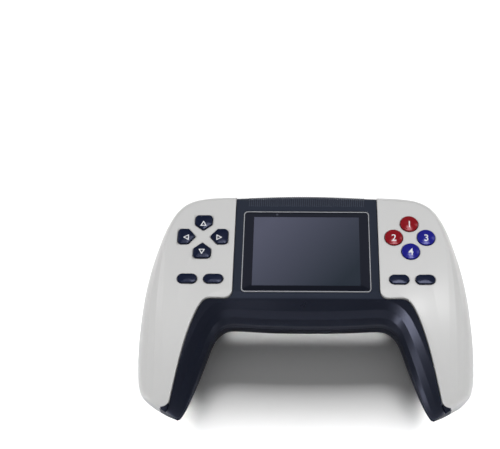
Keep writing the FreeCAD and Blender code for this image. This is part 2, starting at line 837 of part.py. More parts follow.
def make_board():
    """Main board with its chips, the display's tail and the rubber mats under the keys."""
    board = plate("board_blank", "board_width", "board_height", "board_corner", "board_thickness")
    seat(board, "0", "board_y", BOARD_BASE)
    holes = []
    for number, (right, up) in enumerate(FOUR_CORNERS):
        holes.append(rod("board_hole_%d" % number, "screw_diameter + 0.4", "board_thickness + 2",
                         "%d * board_post_x" % right, "%d * board_post_y" % up, BOARD_BASE + " - 1"))
    keep(cut("main_board", board, join("board_holes", holes)), "main_board")

    chips = []
    for name, length, width, height, across, along in (
            ("processor", 12, 12, 1.2, 8, 16), ("memory", 8, 6, 1.0, -8, 17),
            ("amplifier", 5, 4, 1.4, 44, -12), ("charger", 4, 4, 1.0, 22, 27),
            ("crystal", 7, 3, 2.4, 20, 14)):
        chips.append(placed_block(name, str(length), str(width), str(height), str(across), str(along),
                                  BOARD_BASE + " - %s" % height))
    keep(group("board_chips", chips), "board_chips")

    connector = placed_block("display_connector", "27", "2.6", "1", "0", "(-1) * lcd_height / 2 - 3",
                             "face_height - board_depth")
    keep(connector, "display_connector")
    make_tail()
    make_mats()


BOARD_BASE = "face_height - board_depth - board_thickness"
BOARD_EDGE = "board_y + board_height / 2"


def make_tail():
    """Flat tail that leaves the display's lower edge and turns down into its connector."""
    tail = new_body("display_tail")
    sketch = new_sketch(tail, "display_tail_section", "-12", "YZ_Plane")
    thickness = "0.2"
    drop = "plate_proud + frame_wall + gasket_thickness + lcd_thickness + seat_gap + 0.4 - board_depth"
    draw_polygon(sketch, [("0", "0"), ("-1.6", "0"), ("-3", drop), ("-3.3", drop), ("-1.7", thickness),
                          ("0", thickness)])
    pad(tail, sketch, "24", "display_tail_strip")
    keep(tail, "display_tail")
    seat(tail, "0", "(-1) * lcd_height / 2 + 0", LCD_BASE + " + 0.6")


DOME_RISE = ("board_depth - membrane_thickness - plate_proud - frame_wall - seat_gap - flange_thickness"
             " - key_travel - dome_gap")


def mat(name, width, height, domes, across, along):
    """Rubber mat on the board with one dome under each key."""
    base = "face_height - board_depth"
    sheet_body = plate(name + "_sheet", width, height, "2", "membrane_thickness")
    seat(sheet_body, across, along, base)
    pieces = [sheet_body]
    for number, (x, y) in enumerate(domes):
        cone = document.addObject("Part::Cone", "%s_dome_%d" % (name, number))
        bind(cone, "Radius1", "dome_diameter / 2")
        bind(cone, "Radius2", "dome_diameter / 2 - 0.9")
        bind(cone, "Height", DOME_RISE)
        seat(cone, x, y, base + " + membrane_thickness")
        pieces.append(cone)
    keep(join(name, pieces), name)


def make_mats():
    for (side, middle, spacing), name in zip(CLUSTERS, ("dpad_mat", "action_mat")):
        domes = []
        for right, up in ((0, 1), (-1, 0), (1, 0), (0, -1)):
            domes.append(("%d * %s + %d * %s" % (side, middle, right, spacing),
                          "cluster_y + %d * %s" % (up, spacing)))
        reach = "2 * %s + dome_diameter + 2.3" % spacing
        mat(name, reach, reach, domes, "%d * %s" % (side, middle), "cluster_y")
    for side, name in ((-1, "left_pill_mat"), (1, "right_pill_mat")):
        domes = [("%d * pill_inner_x" % side, "(-1) * pill_y"), ("%d * pill_outer_x" % side, "(-1) * pill_y")]
        middle = "%d * (pill_inner_x + pill_outer_x) / 2" % side
        mat(name, "pill_outer_x - pill_inner_x + pill_width - 4", "dome_diameter + 2", domes, middle,
            "(-1) * pill_y")


# Housing


# Place of each case screw and the depth that its head sits at; each one has a twin on the other side.
CASE_SCREWS = ((78.5, 10.0, 19.0), (28.0, -36.2, 19.0), (77.0, -60.0, 24.6))


def case_screw_rods(prefix, diameter, below, length, chosen=CASE_SCREWS, sides=(1, -1)):
    """Upright cylinders on the axes of the case screws, from a given distance below the head's seat."""
    rods = []
    for number, (x, y, depth) in enumerate(chosen):
        for side in sides:
            rods.append(rod("%s_%d_%d" % (prefix, number, side + 1), diameter, length, "%g" % (side * x),
                            "%g" % y, "face_height - %g - (%s)" % (depth, below)))
    return rods


def tier(name, width, height, corner, along, top, bottom):
    """One rounded pocket of the inner space, between two depths."""
    body = plate(name, width, height, corner, bottom + " - (" + top + ")")
    seat(body, "0", along, "face_height - (" + bottom + ")")
    return body


def make_housing(openings):
    """White plates, front frame, rear shell and battery door, cut from the moulded skins."""
    skins = moulded_skins()
    solids = {name: free_form(name, shape) for name, shape in skins.items()}
    inner_face = "plate_proud + frame_wall"
    pockets = [
        tier("board_room", "room_width", "room_height", "board_corner + 1", "board_y", inner_face,
             "room_depth"),
        tier("deep_room", "deep_room_width", "deep_room_height", "board_corner", "(-1) * 0.5",
             "room_depth - 0.5", "centre_depth - rear_wall"),
    ]
    features = []
    for number, (right, up) in enumerate(FOUR_CORNERS):
        features.append(rod("board_post_%d" % number, "board_post_diameter", "board_depth + 4",
                            "%d * board_post_x" % right, "%d * board_post_y" % up,
                            "face_height - board_depth"))
    features.append(placed_block("bay_walls", "battery_width + 3 + 2 * bay_wall",
                                 "battery_height + 2 + 2 * bay_wall", BAY_DEPTH + " + bay_wall + 4",
                                 "0", "bay_y", "face_height - centre_depth - 4"))
    features.append(rod("speaker_ring", "speaker_diameter + 3", "rear_wall + 3.4", "speaker_x", "speaker_y",
                        "face_height - centre_depth"))
    room = cut("cavity", join("rooms", pockets), join("inner_features", features))

    make_front_frame(solids["frame_blank"], room)
    make_rear_shell(solids["rear_blank"], room)
    make_plates(solids["plate_blank"], room, openings)
    make_shoulders(solids["whole"])


FOUR_CORNERS = ((1, 1), (-1, 1), (-1, -1), (1, -1))
BAY_DEPTH = "door_thickness + battery_thickness + 0.6"


def top_edge_windows(prefix):
    """Openings in the top edge for the charging port, the sound jack and the power switch."""
    port = placed_block(prefix + "_port_window", "port_width + 0.6", "window_depth",
                        "port_height + 0.6", "port_x",
                        "top_reach", BOARD_BASE + " - port_height - 0.35")
    jack = document.addObject("Part::Cylinder", prefix + "_jack_window")
    bind(jack, "Radius", "jack_bore / 2 + 1.1")
    bind(jack, "Height", "window_depth")
    jack.Placement = Placement(Vector(0, 0, 0), Rotation(Vector(1, 0, 0), -90))
    bind(jack, "Placement.Base.x", "jack_x")
    bind(jack, "Placement.Base.y", "screen_line + top_reach - window_depth / 2")
    bind(jack, "Placement.Base.z", JACK_AXIS)
    switch = placed_block(prefix + "_switch_window", "3.4 + switch_travel + 0.8", "window_depth", "3",
                          "switch_x", "top_reach", BOARD_BASE + " - 3.2")
    return [port, jack, switch]


JACK_AXIS = "face_height - board_depth - board_thickness - 2.6"


def make_front_frame(blank, room):
    """Black moulding that holds the screen and the keys, with the fluted strip along its top."""
    tools = []
    tools.append(placed_block("display_window", "display_width + 2", "display_height + 2", "12",
                              "0", "0", "face_height - 8"))
    seat_body = plate("lens_seat", "lens_width + 0.6 + 2 * trim_width",
                      "lens_height + 0.6 + 2 * trim_width",
                      "lens_corner + trim_width + 0.2", "6")
    seat(seat_body, "0", "0", "face_height - lens_depth - lens_thickness")
    tools.append(seat_body)
    tools.append(rod("status_light_hole", "1.8", "8", "-17.1", "24.6", "face_height - 8"))
    tools += top_edge_windows("frame")
    wings = []
    for side, name in ((-1, "left_wing_room"), (1, "right_wing_room")):
        wings.append(free_form(name, plate_outline(side, size("panel_gap"))))
    for number, (right, up) in enumerate(FOUR_CORNERS):
        tools.append(rod("board_pilot_%d" % number, "screw_diameter + 0.1", "4.8",
                         "%d * board_post_x" % right, "%d * board_post_y" % up,
                         "face_height - board_depth - 0.1"))
    tools += case_screw_rods("frame_pilot", "screw_diameter + 0.1", "(-1) * 4", "screw_length - 3.4",
                             CASE_SCREWS[1:2])
    middle = cut_in_turn("frame_middle", blank, [room] + wings + [join("frame_cuts", tools)])
    flanges = []
    for side in (-1, 1):
        riser = "plate_inner_x - panel_gap - 37.5"
        flanges.append(placed_block("flange_riser_%d" % (side + 1), riser, "54", "2.6",
                                    "%d * (37.5 + (%s) / 2)" % (side, riser), "0", "face_height - 5"))
        flanges.append(placed_block("flange_%d" % (side + 1), riser + " + 2.2", "54", "1.3",
                                    "%d * (37.5 + (%s + 2.2) / 2)" % (side, riser), "0", "face_height - 5"))
    framed = join("framed_middle", [middle] + flanges)
    keep(framed, "front_frame")


def make_rear_shell(blank, room):
    """Black rear moulding: two pods and two grips to rest on, the battery bay and the speaker grille."""
    tools = []
    table = block("table", "console_width + 40", "console_width + 40", "10")
    seat_block(table, "console_width + 40", "console_width + 40", "0", "-20", "-10")
    tools.append(placed_block("bay_space", "battery_width + 3", "battery_height + 2", BAY_DEPTH + " + 2",
                              "0", "bay_y", "face_height - centre_depth - 2"))
    recess = plate("door_recess", "door_width + 2 * panel_gap", "door_height + 2 * panel_gap",
                   "door_corner + panel_gap", "door_thickness + 2.2")
    seat(recess, "0", "bay_y", "face_height - centre_depth - 2")
    tools.append(recess)
    tools.append(rod("speaker_seat", "speaker_diameter + 0.4", "10", "speaker_x", "speaker_y",
                     "face_height - centre_depth + rear_wall"))
    tools.append(rod("grille_dish", "speaker_diameter", "2 + grille_recess", "speaker_x", "speaker_y",
                     "face_height - centre_depth - 2"))
    for number, (row, length) in enumerate(((-2, 8), (-1, 13), (0, 15), (1, 13), (2, 8))):
        tools.append(placed_block("grille_slot_%d" % number, str(length), "grille_slot", "rear_wall + 4",
                                  "speaker_x", "speaker_y + %d * grille_pitch" % row,
                                  "face_height - centre_depth - 2"))
    tools += top_edge_windows("rear")
    for side in (-1, 1):
        tools.append(rod("rear_hinge_hole_%d" % (side + 1), "hinge_pin_diameter + 2 * hinge_play", "30",
                         "%d * hinge_x" % side, "hinge_y", "face_height - shoulder_low_depth - 3.4"))
        tools.append(placed_block("arm_room_%d" % (side + 1), "8.8", "7", "14", "%d * (hinge_x + 1)" % side,
                                  "hinge_y + 0.1", "face_height - shoulder_low_depth - 0.4"))
        width = "shoulder_outer_x - shoulder_inner_x + 2 * panel_gap"
        tools.append(placed_block("shoulder_window_%d" % (side + 1), width, "window_depth + 6",
                                  "shoulder_low_depth - shoulder_top_depth + 2 * panel_gap",
                                  "%d * (shoulder_inner_x + shoulder_outer_x) / 2" % side, "top_reach - 4",
                                  "face_height - shoulder_low_depth - panel_gap"))
    tools += case_screw_rods("head_room", "screw_head + 0.6", "40", "40")
    tools += case_screw_rods("screw_way", "screw_diameter + 0.4", "1", "screw_length")
    keep(cut_in_turn("rear_shell", blank, [room, table, join("rear_cuts", tools)]), "rear_shell")

    door = plate("battery_door", "door_width", "door_height", "door_corner", "door_thickness")
    keep(door, "battery_door")
    seat(door, "0", "bay_y", "face_height - centre_depth")


def make_plates(blank, room, openings):
    """White plates: the outermost skin over each wing and grip, with the key openings."""
    shell = cut("plate_skin", blank, room)
    for side, name in ((-1, "left_faceplate"), (1, "right_faceplate")):
        outline = free_form(name + "_outline", plate_outline(side, 0.0))
        wing = shared(name + "_wing", [shell, outline])
        pilots = case_screw_rods(name + "_pilot", "screw_diameter + 0.1", "(-1) * 4", "screw_length - 3.4",
                                 (CASE_SCREWS[0], CASE_SCREWS[2]), (side,))
        keep(cut_in_turn(name, wing, [join(name + "_key_openings", openings[side])] + pilots), name)


def shoulder_back(wall):
    """Everything behind the shoulder buttons' wall: the widest line moved inwards, as upright prisms."""
    outer = outer_curve()
    places = []
    for number in range(-5, 10):
        parameter = 0.20 + 0.26 * number / 8.0
        point = outer.value(parameter)
        tangent = outer.tangent(parameter)[0]
        places.append(Vector(point.x + tangent.y * wall, point.y - tangent.x * wall, 0))
    places += [Vector(places[-1].x, 0, 0), Vector(places[0].x, 0, 0)]
    face = Part.Face(Part.makePolygon(places + [places[0]]))
    prism = face.extrude(Vector(0, 0, size("face_height")))
    prism.translate(Vector(0, size("screen_line"), 0))
    return Part.makeCompound([prism, prism.mirror(Vector(0, 0, 0), Vector(1, 0, 0))])


def make_shoulders(whole):
    """Shoulder buttons: pieces of the housing's own skin on an arm that turns on an upright pin."""
    inside = free_form("shoulder_inside", shoulder_back(size("shoulder_wall")))
    height = "shoulder_low_depth - shoulder_top_depth"
    for side, name in ((-1, "left"), (1, "right")):
        middle = "%d * (shoulder_inner_x + shoulder_outer_x) / 2" % side
        across = "%d * (shoulder_inner_x + 9)" % side
        zone = placed_block(name + "_shoulder_zone", "shoulder_outer_x - shoulder_inner_x", "24", height,
                            middle, "top_reach - 8", "face_height - shoulder_low_depth")
        cap = cut(name + "_shoulder_cap", shared(name + "_shoulder_piece", [whole, zone]), inside)
        arm_length = "shoulder_inner_x - hinge_x + 3"
        arm = placed_block(name + "_shoulder_arm", arm_length, "4", height,
                           "%d * (hinge_x + (%s) / 2)" % (side, arm_length), "hinge_y + 1.2",
                           "face_height - shoulder_low_depth")
        boss = rod(name + "_shoulder_boss", "hinge_pin_diameter + 3.2", height, "%d * hinge_x" % side,
                   "hinge_y", "face_height - shoulder_low_depth")
        nub = placed_block(name + "_shoulder_nub", "3", "2.6", "3", across, "hinge_y + 1.6",
                           "face_height - 18.5")
        lever = join(name + "_shoulder_lever", [cap, arm, boss, nub])
        bore = rod(name + "_shoulder_bore", "hinge_pin_diameter + 2 * hinge_play", "40",
                   "%d * hinge_x" % side, "hinge_y", "0")
        keep(cut(name + "_shoulder_button", lever, bore), name + "_shoulder_button")
        pin = rod(name + "_shoulder_pin", "hinge_pin_diameter", height + " + 4",
                  "%d * hinge_x" % side, "hinge_y", "face_height - shoulder_low_depth - 3")
        keep(pin, name + "_shoulder_pin")
        switch = placed_block(name + "_shoulder_switch_case", "6", "4", "8", across,
                              "hinge_y - 3.6",
                              BOARD_BASE + " - 8")
        plunger = placed_block(name + "_shoulder_plunger", "2.4", "0.8", "2.4", across,
                                "hinge_y - 1.2",
                               "face_height - 18.2")
        keep(join(name + "_shoulder_switch", [switch, plunger]), name + "_shoulder_switch")


# Fittings


def make_fittings():
    """Battery with its contacts, speaker, port, jack, power switch, status light and screws."""
    battery = plate("battery", "battery_width", "battery_height", "2", "battery_thickness")
    keep(battery, "battery")
    seat(battery, "-1.2", "bay_y", "face_height - centre_depth + door_thickness + 0.2")

    contacts = [placed_block("contact_block", "1.6", "12", "5", "battery_width / 2 + 0.6", "bay_y",
                             "face_height - centre_depth + door_thickness + 0.5")]
    keep(group("battery_contacts", contacts), "battery_contacts")

    speaker = keep(disc("speaker", "speaker_diameter", "speaker_thickness"), "speaker")
    seat(speaker, "speaker_x", "speaker_y", "face_height - centre_depth + rear_wall + 0.1")

    port = placed_block("port_shell", "port_width", "port_length", "port_height", "port_x",
                        "top_reach - 1.6 - port_length / 2",
                        BOARD_BASE + " - port_height")
    mouth = placed_block("port_mouth", "port_width - 0.8", "5", "port_height - 0.8", "port_x",
                         "top_reach - 4", BOARD_BASE + " - port_height + 0.4")
    keep(cut("charging_port", port, mouth), "charging_port")

    jack = placed_block("jack_case", "6.4", "9", "5.2", "jack_x", BOARD_EDGE + " - 3.7",
                        JACK_AXIS + " - 2.6")
    bore = document.addObject("Part::Cylinder", "jack_hole")
    bind(bore, "Radius", "jack_bore / 2")
    bind(bore, "Height", "12")
    bore.Placement = Placement(Vector(0, 0, 0), Rotation(Vector(1, 0, 0), -90))
    bind(bore, "Placement.Base.x", "jack_x")
    bind(bore, "Placement.Base.y", "screen_line + " + BOARD_EDGE + " - 6.2")
    bind(bore, "Placement.Base.z", JACK_AXIS)
    keep(cut("sound_jack", jack, bore), "sound_jack")

    case = placed_block("switch_case", "8.6", "4", "3.6", "switch_x", BOARD_EDGE + " - 1.9",
                        BOARD_BASE + " - 3.6")
    keep(case, "power_switch")
    knob = placed_block("switch_knob", "3.4", "7", "2", "switch_x - switch_travel / 2", "top_reach - 3.6",
                        BOARD_BASE + " - 2.7")
    keep(knob, "power_switch_knob")

    light = rod("status_light", "1.6", "0.7", "-17.1", "24.6",
                "face_height - lens_depth - lens_thickness - 0.75")
    keep(light, "status_light")

    screws = []
    for number, (right, up) in enumerate(FOUR_CORNERS):
        across = "%d * board_post_x" % right
        along = "%d * board_post_y" % up
        head = rod("board_screw_head_%d" % number, "screw_head", "1.2", across, along, BOARD_BASE + " - 1.25")
        shank = rod("board_screw_shank_%d" % number, "screw_diameter", "5", across, along,
                    BOARD_BASE + " - 0.6")
        screws.append(join("board_screw_%d" % number, [head, shank]))
    keep(group("board_screws", screws), "board_screws")

    heads = case_screw_rods("case_screw_head", "screw_head", "head_height", "head_height")
    shanks = case_screw_rods("case_screw_shank", "screw_diameter", "0.4", "screw_length + 0.4")
    screws = [join("case_screw_%d" % number, pair) for number, pair in enumerate(zip(heads, shanks))]
    keep(group("case_screws", screws), "case_screws")


def check_and_export():
    document.recompute()
    faults = []
    for thing in document.Objects:
        if "Invalid" in thing.State or "Error" in thing.State:
            faults.append(thing.Name)
    for thing in PARTS:
        if thing.Shape.isNull() or not thing.Shape.isValid() or not thing.Shape.Solids:
            faults.append(thing.Label)
    if faults:
        raise RuntimeError("faulty objects: " + ", ".join(faults))
    os.makedirs("parts", exist_ok=True)
    for thing in PARTS:
        thing.Shape.exportStep(os.path.join("parts", thing.Label + ".step"))
        print(thing.Label, len(thing.Shape.Solids), round(thing.Shape.Volume, 1))


fill_sheet()
key_openings = make_keys()
make_screen()
make_board()
make_housing(key_openings)
make_fittings()
check_and_export()
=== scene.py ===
# %% [markdown]
# # A handheld game console in Blender
# The console is a pad with a wide screen between two swept grips. White moulded plates lie over a
# black middle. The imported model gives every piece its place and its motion. These cells give it its
# looks: smooth keys with marks, a lens, moulded plastics and studio light. Everything stands in the
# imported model's own frame, in metres.

# %% The frame
import json
import math
import bmesh
import bpy
import numpy as np
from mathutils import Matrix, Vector
from mathutils.bvhtree import BVHTree


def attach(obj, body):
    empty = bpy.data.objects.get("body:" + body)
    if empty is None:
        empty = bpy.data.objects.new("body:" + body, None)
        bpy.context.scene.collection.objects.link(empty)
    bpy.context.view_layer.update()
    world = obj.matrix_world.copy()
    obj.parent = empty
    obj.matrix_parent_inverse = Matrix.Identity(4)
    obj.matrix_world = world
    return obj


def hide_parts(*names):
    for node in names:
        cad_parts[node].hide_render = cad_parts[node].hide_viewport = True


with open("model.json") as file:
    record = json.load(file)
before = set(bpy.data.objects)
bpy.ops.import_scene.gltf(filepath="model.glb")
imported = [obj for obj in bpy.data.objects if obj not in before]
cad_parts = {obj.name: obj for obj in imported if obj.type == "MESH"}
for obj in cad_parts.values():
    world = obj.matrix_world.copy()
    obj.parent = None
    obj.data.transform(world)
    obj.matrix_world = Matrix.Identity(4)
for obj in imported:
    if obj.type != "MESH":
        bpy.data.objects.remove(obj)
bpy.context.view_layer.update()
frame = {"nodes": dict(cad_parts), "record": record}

NODES = frame["nodes"]
MM = 0.001

# %% [markdown]
# ## The camera
# A camera is worked out before anything else. The lens length is the distance in pixels at which the
# picture's perspective fits, turned into millimetres of a 36 mm wide sensor. The console stands a
# little right of the picture's middle. The camera could be turned towards it, but that would bend the
# perspective, so the sensor is shifted. The screen's middle line and the height of the flat face are
# the two levels that later cells share.

# %% Camera
def new_object(name, data):
    """Object at the origin that holds a mesh, a lamp or a camera."""
    made = bpy.data.objects.new(name, data)
    bpy.context.collection.objects.link(made)
    return made


SCREEN_LINE = 25.8 * MM
FACE = 36.0 * MM
AIM = Vector((0.3 * MM, SCREEN_LINE + 16.8 * MM, FACE))
TILT = math.radians(32.8)
ROLL = math.radians(0.28)
DISTANCE = 598.9 * MM
LENS_MM = 74.4
SENSOR_MM = 36.0
SHIFT = -0.114
NEAREST = 0.02
FARTHEST = 20.0

camera_data = bpy.data.cameras.new("camera")
camera_data.lens = LENS_MM
camera_data.sensor_width = SENSOR_MM
camera_data.shift_x = SHIFT
camera_data.clip_start = NEAREST
camera_data.clip_end = FARTHEST
camera = new_object("camera", camera_data)
camera.location = AIM + DISTANCE * Vector((0.0, -math.sin(TILT), math.cos(TILT)))
camera.rotation_euler = (TILT, 0.0, 0.0)
camera.rotation_euler.rotate_axis("Z", ROLL)
bpy.context.scene.camera = camera
bpy.context.scene.view_settings.view_transform = "Standard"
print("camera at", [round(v, 3) for v in camera.location])

# %% [markdown]
# ## The floor
# A product picture stands on a plain pale floor that runs out of the frame on every side. An operator
# could add a plane. Here it is a small grid of points from numpy, because every later piece is such a
# grid too, and one helper then makes them all. It is staging and no part of the console.

# %% Floor
def grid_mesh(name, points, closed_columns=False):
    """Quads over a grid of points with shape (rows, columns, 3).
    Closed columns join the last one to the first, as round a tube."""
    rows, columns, _ = points.shape
    index = np.arange(rows * columns).reshape(rows, columns)
    if closed_columns:
        index = np.hstack([index, index[:, :1]])
    quads = np.stack([index[:-1, :-1], index[:-1, 1:], index[1:, 1:], index[1:, :-1]], axis=-1)
    mesh = bpy.data.meshes.new(name)
    mesh.from_pydata(points.reshape(-1, 3), [], quads.reshape(-1, 4))
    return mesh


FLOOR_REACH = 4.0
span = np.linspace(-FLOOR_REACH, FLOOR_REACH, 3)
floor_x, floor_y = np.meshgrid(span, span, indexing="xy")
floor = new_object("floor", grid_mesh("floor", np.dstack([floor_x, floor_y, np.zeros_like(floor_x)])))
print("floor:", 2.0 * FLOOR_REACH, "m wide")

# %% [markdown]
# ## Light
# The photograph has one long soft shadow between the grips and almost none elsewhere, as a product
# picture does. Lamps that reach everything can't give that, so floor and console are lit apart by
# light linking: a collection says which objects a lamp reaches. A soft lamp far behind lights the
# floor only and throws that shadow, and narrow beams straight down clear the rest of it. Broad lamps
# shade the console, and small ones that show only in reflections give its glossy parts highlights.

# %% Lamps and what they reach
def area_light(name, place, target, size, power):
    """Rectangular lamp that points at a target; its size is width and height in metres."""
    data = bpy.data.lights.new(name, "AREA")
    data.shape = "RECTANGLE"
    data.size, data.size_y = size
    data.energy = power
    light = new_object(name, data)
    light.location = place
    light.rotation_euler = (Vector(target) - Vector(place)).to_track_quat("-Z", "Y").to_euler()
    return light


def link_set(name, objects, state="INCLUDE"):
    """Collection for light linking: the lamp that takes it reaches, or leaves out, its objects."""
    made = bpy.data.collections.new(name)
    for thing in objects:
        made.objects.link(thing)
    for entry in made.collection_objects:
        entry.light_linking.link_state = state
    return made


def aim(light, receivers, glossy=True, diffuse=True):
    """Which surfaces a lamp reaches, and whether it shows in reflections, in plain shading or in both."""
    light.light_linking.receiver_collection = receivers
    light.visible_glossy = glossy
    light.visible_diffuse = diffuse


FLOOR_ONLY = link_set("floor_only", [floor])
FLOOR_LEFT_OUT = link_set("floor_left_out", [floor], "EXCLUDE")
PLATES_ONLY = link_set("plates_only", [NODES["left_faceplate"], NODES["right_faceplate"]])
BLACK_ONLY = link_set("black_only", [NODES["front_frame"], NODES["rear_shell"]])
KEYS_ONLY = link_set("keys_only", [])
print("light can be kept to the floor, the plates, the black parts or the keys")

# %% Broad lamps
CENTRE = (0.0, 0.0, 0.0)
aim(area_light("floor_key", (0.0, 1.30, 0.84), CENTRE, size=(0.6, 0.8), power=42.0), FLOOR_ONLY)
for name, place, size, power in (("top_soft", (0.0, -0.20, 1.60), (1.2, 0.8), 17.0),
                                 ("left_side", (-1.30, 0.10, 0.80), (0.5, 0.9), 3.6),
                                 ("right_side", (1.30, 0.10, 0.80), (0.5, 0.9), 3.6)):
    aim(area_light(name, place, CENTRE, size, power), FLOOR_LEFT_OUT, glossy=False)
print("broad lamps:", len(bpy.data.lights))

# %% Highlights
GLINT_DISTANCE = 1.4


def glint(name, direction, size, power, receivers=FLOOR_LEFT_OUT):
    """Small lamp that shows in reflections only: place = aim + distance * direction / |direction|."""
    place = Vector(direction).normalized() * GLINT_DISTANCE + AIM
    aim(area_light(name, place, AIM, size, power), receivers, diffuse=False)


glint("screen_sheen", (0.0, 0.55, 0.83), size=(0.8, 0.35), power=0.25)
glint("front_left_glint", (-0.43, -0.23, 0.87), size=(0.25, 0.25), power=4.9, receivers=BLACK_ONLY)
glint("front_glint", (0.0, -0.85, 0.53), size=(1.0, 0.3), power=1.0, receivers=BLACK_ONLY)
glint("low_left_glint", (-0.58, -0.56, 0.58), size=(0.20, 0.20), power=2.2, receivers=BLACK_ONLY)
glint("left_glint", (-0.68, 0.40, 0.62), size=(0.35, 0.50), power=2.4)
glint("right_glint", (0.68, 0.40, 0.62), size=(0.35, 0.50), power=1.6)
glint("left_plate_glint", (-0.47, 0.19, 0.86), size=(0.22, 0.22), power=2.0, receivers=PLATES_ONLY)
glint("right_plate_glint", (0.26, 0.18, 0.95), size=(0.18, 0.18), power=8.0, receivers=PLATES_ONLY)
glint("key_glint", (0.10, 0.08, 0.99), size=(0.60, 0.42), power=7.0, receivers=KEYS_ONLY)
print("broad lamps and highlights:", len(bpy.data.lights))

# %% Beams on the floor
BEAM_SPREAD = math.radians(4.0)
LEAN = 1e-6


def floor_wash(name, middle, size, height, power):
    """Narrow beam straight down on a patch of floor: it fills a shadow, as the console doesn't block it.
    It leans along Y by a hair, so the turn that points it down is certain to keep its width along X."""
    across, along = middle
    wash = area_light(name, (across, along, height), (across, along + LEAN, 0.0), size, power)
    wash.data.spread = BEAM_SPREAD
    wash.visible_camera = False
    wash.light_linking.blocker_collection = FLOOR_ONLY
    aim(wash, FLOOR_ONLY, glossy=False)


floor_wash("front_wash", (0.0, -0.166), size=(0.80, 0.17), height=1.2, power=0.55)
floor_wash("arch_wash", (0.0, -0.010), size=(0.090, 0.006), height=0.2, power=0.0010)
for name, side in (("left", -1.0), ("right", 1.0)):
    floor_wash(name + "_wash", (side * 0.185, 0.02), size=(0.18, 0.50), height=0.6, power=0.32)
    floor_wash(name + "_tip_wash", (side * 0.099, -0.083), size=(0.070, 0.064), height=0.3, power=0.016)
print("all lamps:", len(bpy.data.lights))

# %% World
WORLD_COLOUR = (1.0, 1.0, 1.0, 1.0)
WORLD_LIGHT = 0.205
world = bpy.data.worlds.new("studio")
bpy.context.scene.world = world
world.use_nodes = True
background = world.node_tree.nodes["Background"]
background.inputs["Color"].default_value = WORLD_COLOUR
background.inputs["Strength"].default_value = WORLD_LIGHT
print("world light:", WORLD_LIGHT)

# %% [markdown]
# ## Shader arithmetic
# Most finishes here are sums and products: a tone that drifts, a line where it ends, a round corner.
# They could be drawn as nodes by hand, but a formula is easier to read and to change. So a small
# class lets ordinary arithmetic on sockets add the Math nodes, and one method makes any other node.

# %% Shader arithmetic
EDGE_SAMPLES = 6


class Wire:
    """A socket with operators: each operator adds a Math node."""

    def __init__(self, paint, socket):
        self.paint = paint
        self.socket = socket

    def math(self, operation, *others):
        """A Math node on this socket and up to two others."""
        return self.paint.node("ShaderNodeMath", {"operation": operation}, self, *others)

    def __add__(self, other):
        return self.math("ADD", other)

    def __sub__(self, other):
        return self.math("SUBTRACT", other)

    def __rsub__(self, other):
        return self.paint.node("ShaderNodeMath", {"operation": "SUBTRACT"}, other, self)

    def __mul__(self, other):
        return self.math("MULTIPLY", other)

    __radd__ = __add__
    __rmul__ = __mul__


class Paint:
    """A material with a principled shader, whose constants are set by name."""

    def __init__(self, name, **constants):
        self.material = bpy.data.materials.new(name)
        self.material.use_nodes = True
        self.tree = self.material.node_tree
        self.shader = self.tree.nodes["Principled BSDF"]
        for socket, value in constants.items():
            self.shader.inputs[socket.replace("_", " ")].default_value = value

    def node(self, kind, settings, *values, output=0, **named):
        """Any node: its settings first, then the values or wires of its sockets by number or name."""
        made = self.tree.nodes.new(kind)
        for key, value in settings.items():
            setattr(made, key, value)
        for key, value in list(enumerate(values)) + list(named.items()):
            if isinstance(value, Wire):
                self.tree.links.new(value.socket, made.inputs[key])
            elif value is not None:
                made.inputs[key].default_value = value
        return Wire(self, made.outputs[output])

    def feed(self, socket, wire):
        """A wire drives one of the shader's sockets."""
        self.tree.links.new(wire.socket, self.shader.inputs[socket])

    def cover(self, factor, colour):
        """A matt colour takes the shader's place where the factor is 1."""
        matt = self.node("ShaderNodeBsdfDiffuse", {}, Color=colour)
        mixed = self.node("ShaderNodeMixShader", {}, factor, Wire(self, self.shader.outputs[0]), matt)
        self.tree.links.new(mixed.socket, self.tree.nodes["Material Output"].inputs["Surface"])

    def place(self):
        """Object coordinates, which are the console's own frame in metres."""
        return self.node("ShaderNodeTexCoord", {}, output="Object")

    def axes(self):
        """The same coordinates as three wires: x, y and z."""
        split = self.node("ShaderNodeSeparateXYZ", {}, self.place()).socket.node
        return [Wire(self, output) for output in split.outputs]

    def noise(self, scale, detail):
        """Clouds from 0 to 1, with about as many to the metre as the scale says."""
        return self.node("ShaderNodeTexNoise", {}, Vector=self.place(), Scale=scale, Detail=detail)

    def ramp(self, value, start, end, first=0.0, last=1.0):
        """Straight slope from first, where the value is start or less, to last, where it is end or more."""
        return self.node("ShaderNodeMapRange", {}, value, start, end, first, last)

    def blend(self, factor, first, second):
        """Colour mixed from first to second."""
        return self.node("ShaderNodeMix", {"data_type": "RGBA"}, output=2, Factor=factor, A=first, B=second)

    def bump(self, height, distance, edge=None):
        """Fine relief; with an edge radius, sharp edges are also shaded as if they were rounded."""
        rounded = None
        if edge is not None:
            rounded = self.node("ShaderNodeBevel", {"samples": EDGE_SAMPLES}, Radius=edge)
        self.feed("Normal", self.node("ShaderNodeBump", {}, Height=height, Distance=distance, Normal=rounded))


print("shader arithmetic ready")

# %% [markdown]
# ## Tones laid over the plastic
# Some lines on the console are changes of tone within one moulding: the lighter panel round the
# screen, the white that goes round the grips' ends and the round inner corner of each plate's end. The
# ribs carry painted light on their crowns and painted shade in their grooves. They could be pieces of
# their own, but the imported mouldings stay whole.
# So each is a formula of the coordinates, and a very short ramp turns its sign into a clean edge.

# %% Panel and ribs
PANEL_END = SCREEN_LINE - 30.4 * MM
PANEL_SOFT = 0.35 * MM
PANEL_TONE = (0.016, 0.021, 0.033, 1)
RIB_PITCH = 1.2 * MM
BAND_HALF = 34.2 * MM
# Colour of the painted light on the ribs' crowns.
CROWN_PAINTED_LIGHT = (0.038, 0.046, 0.066, 1)


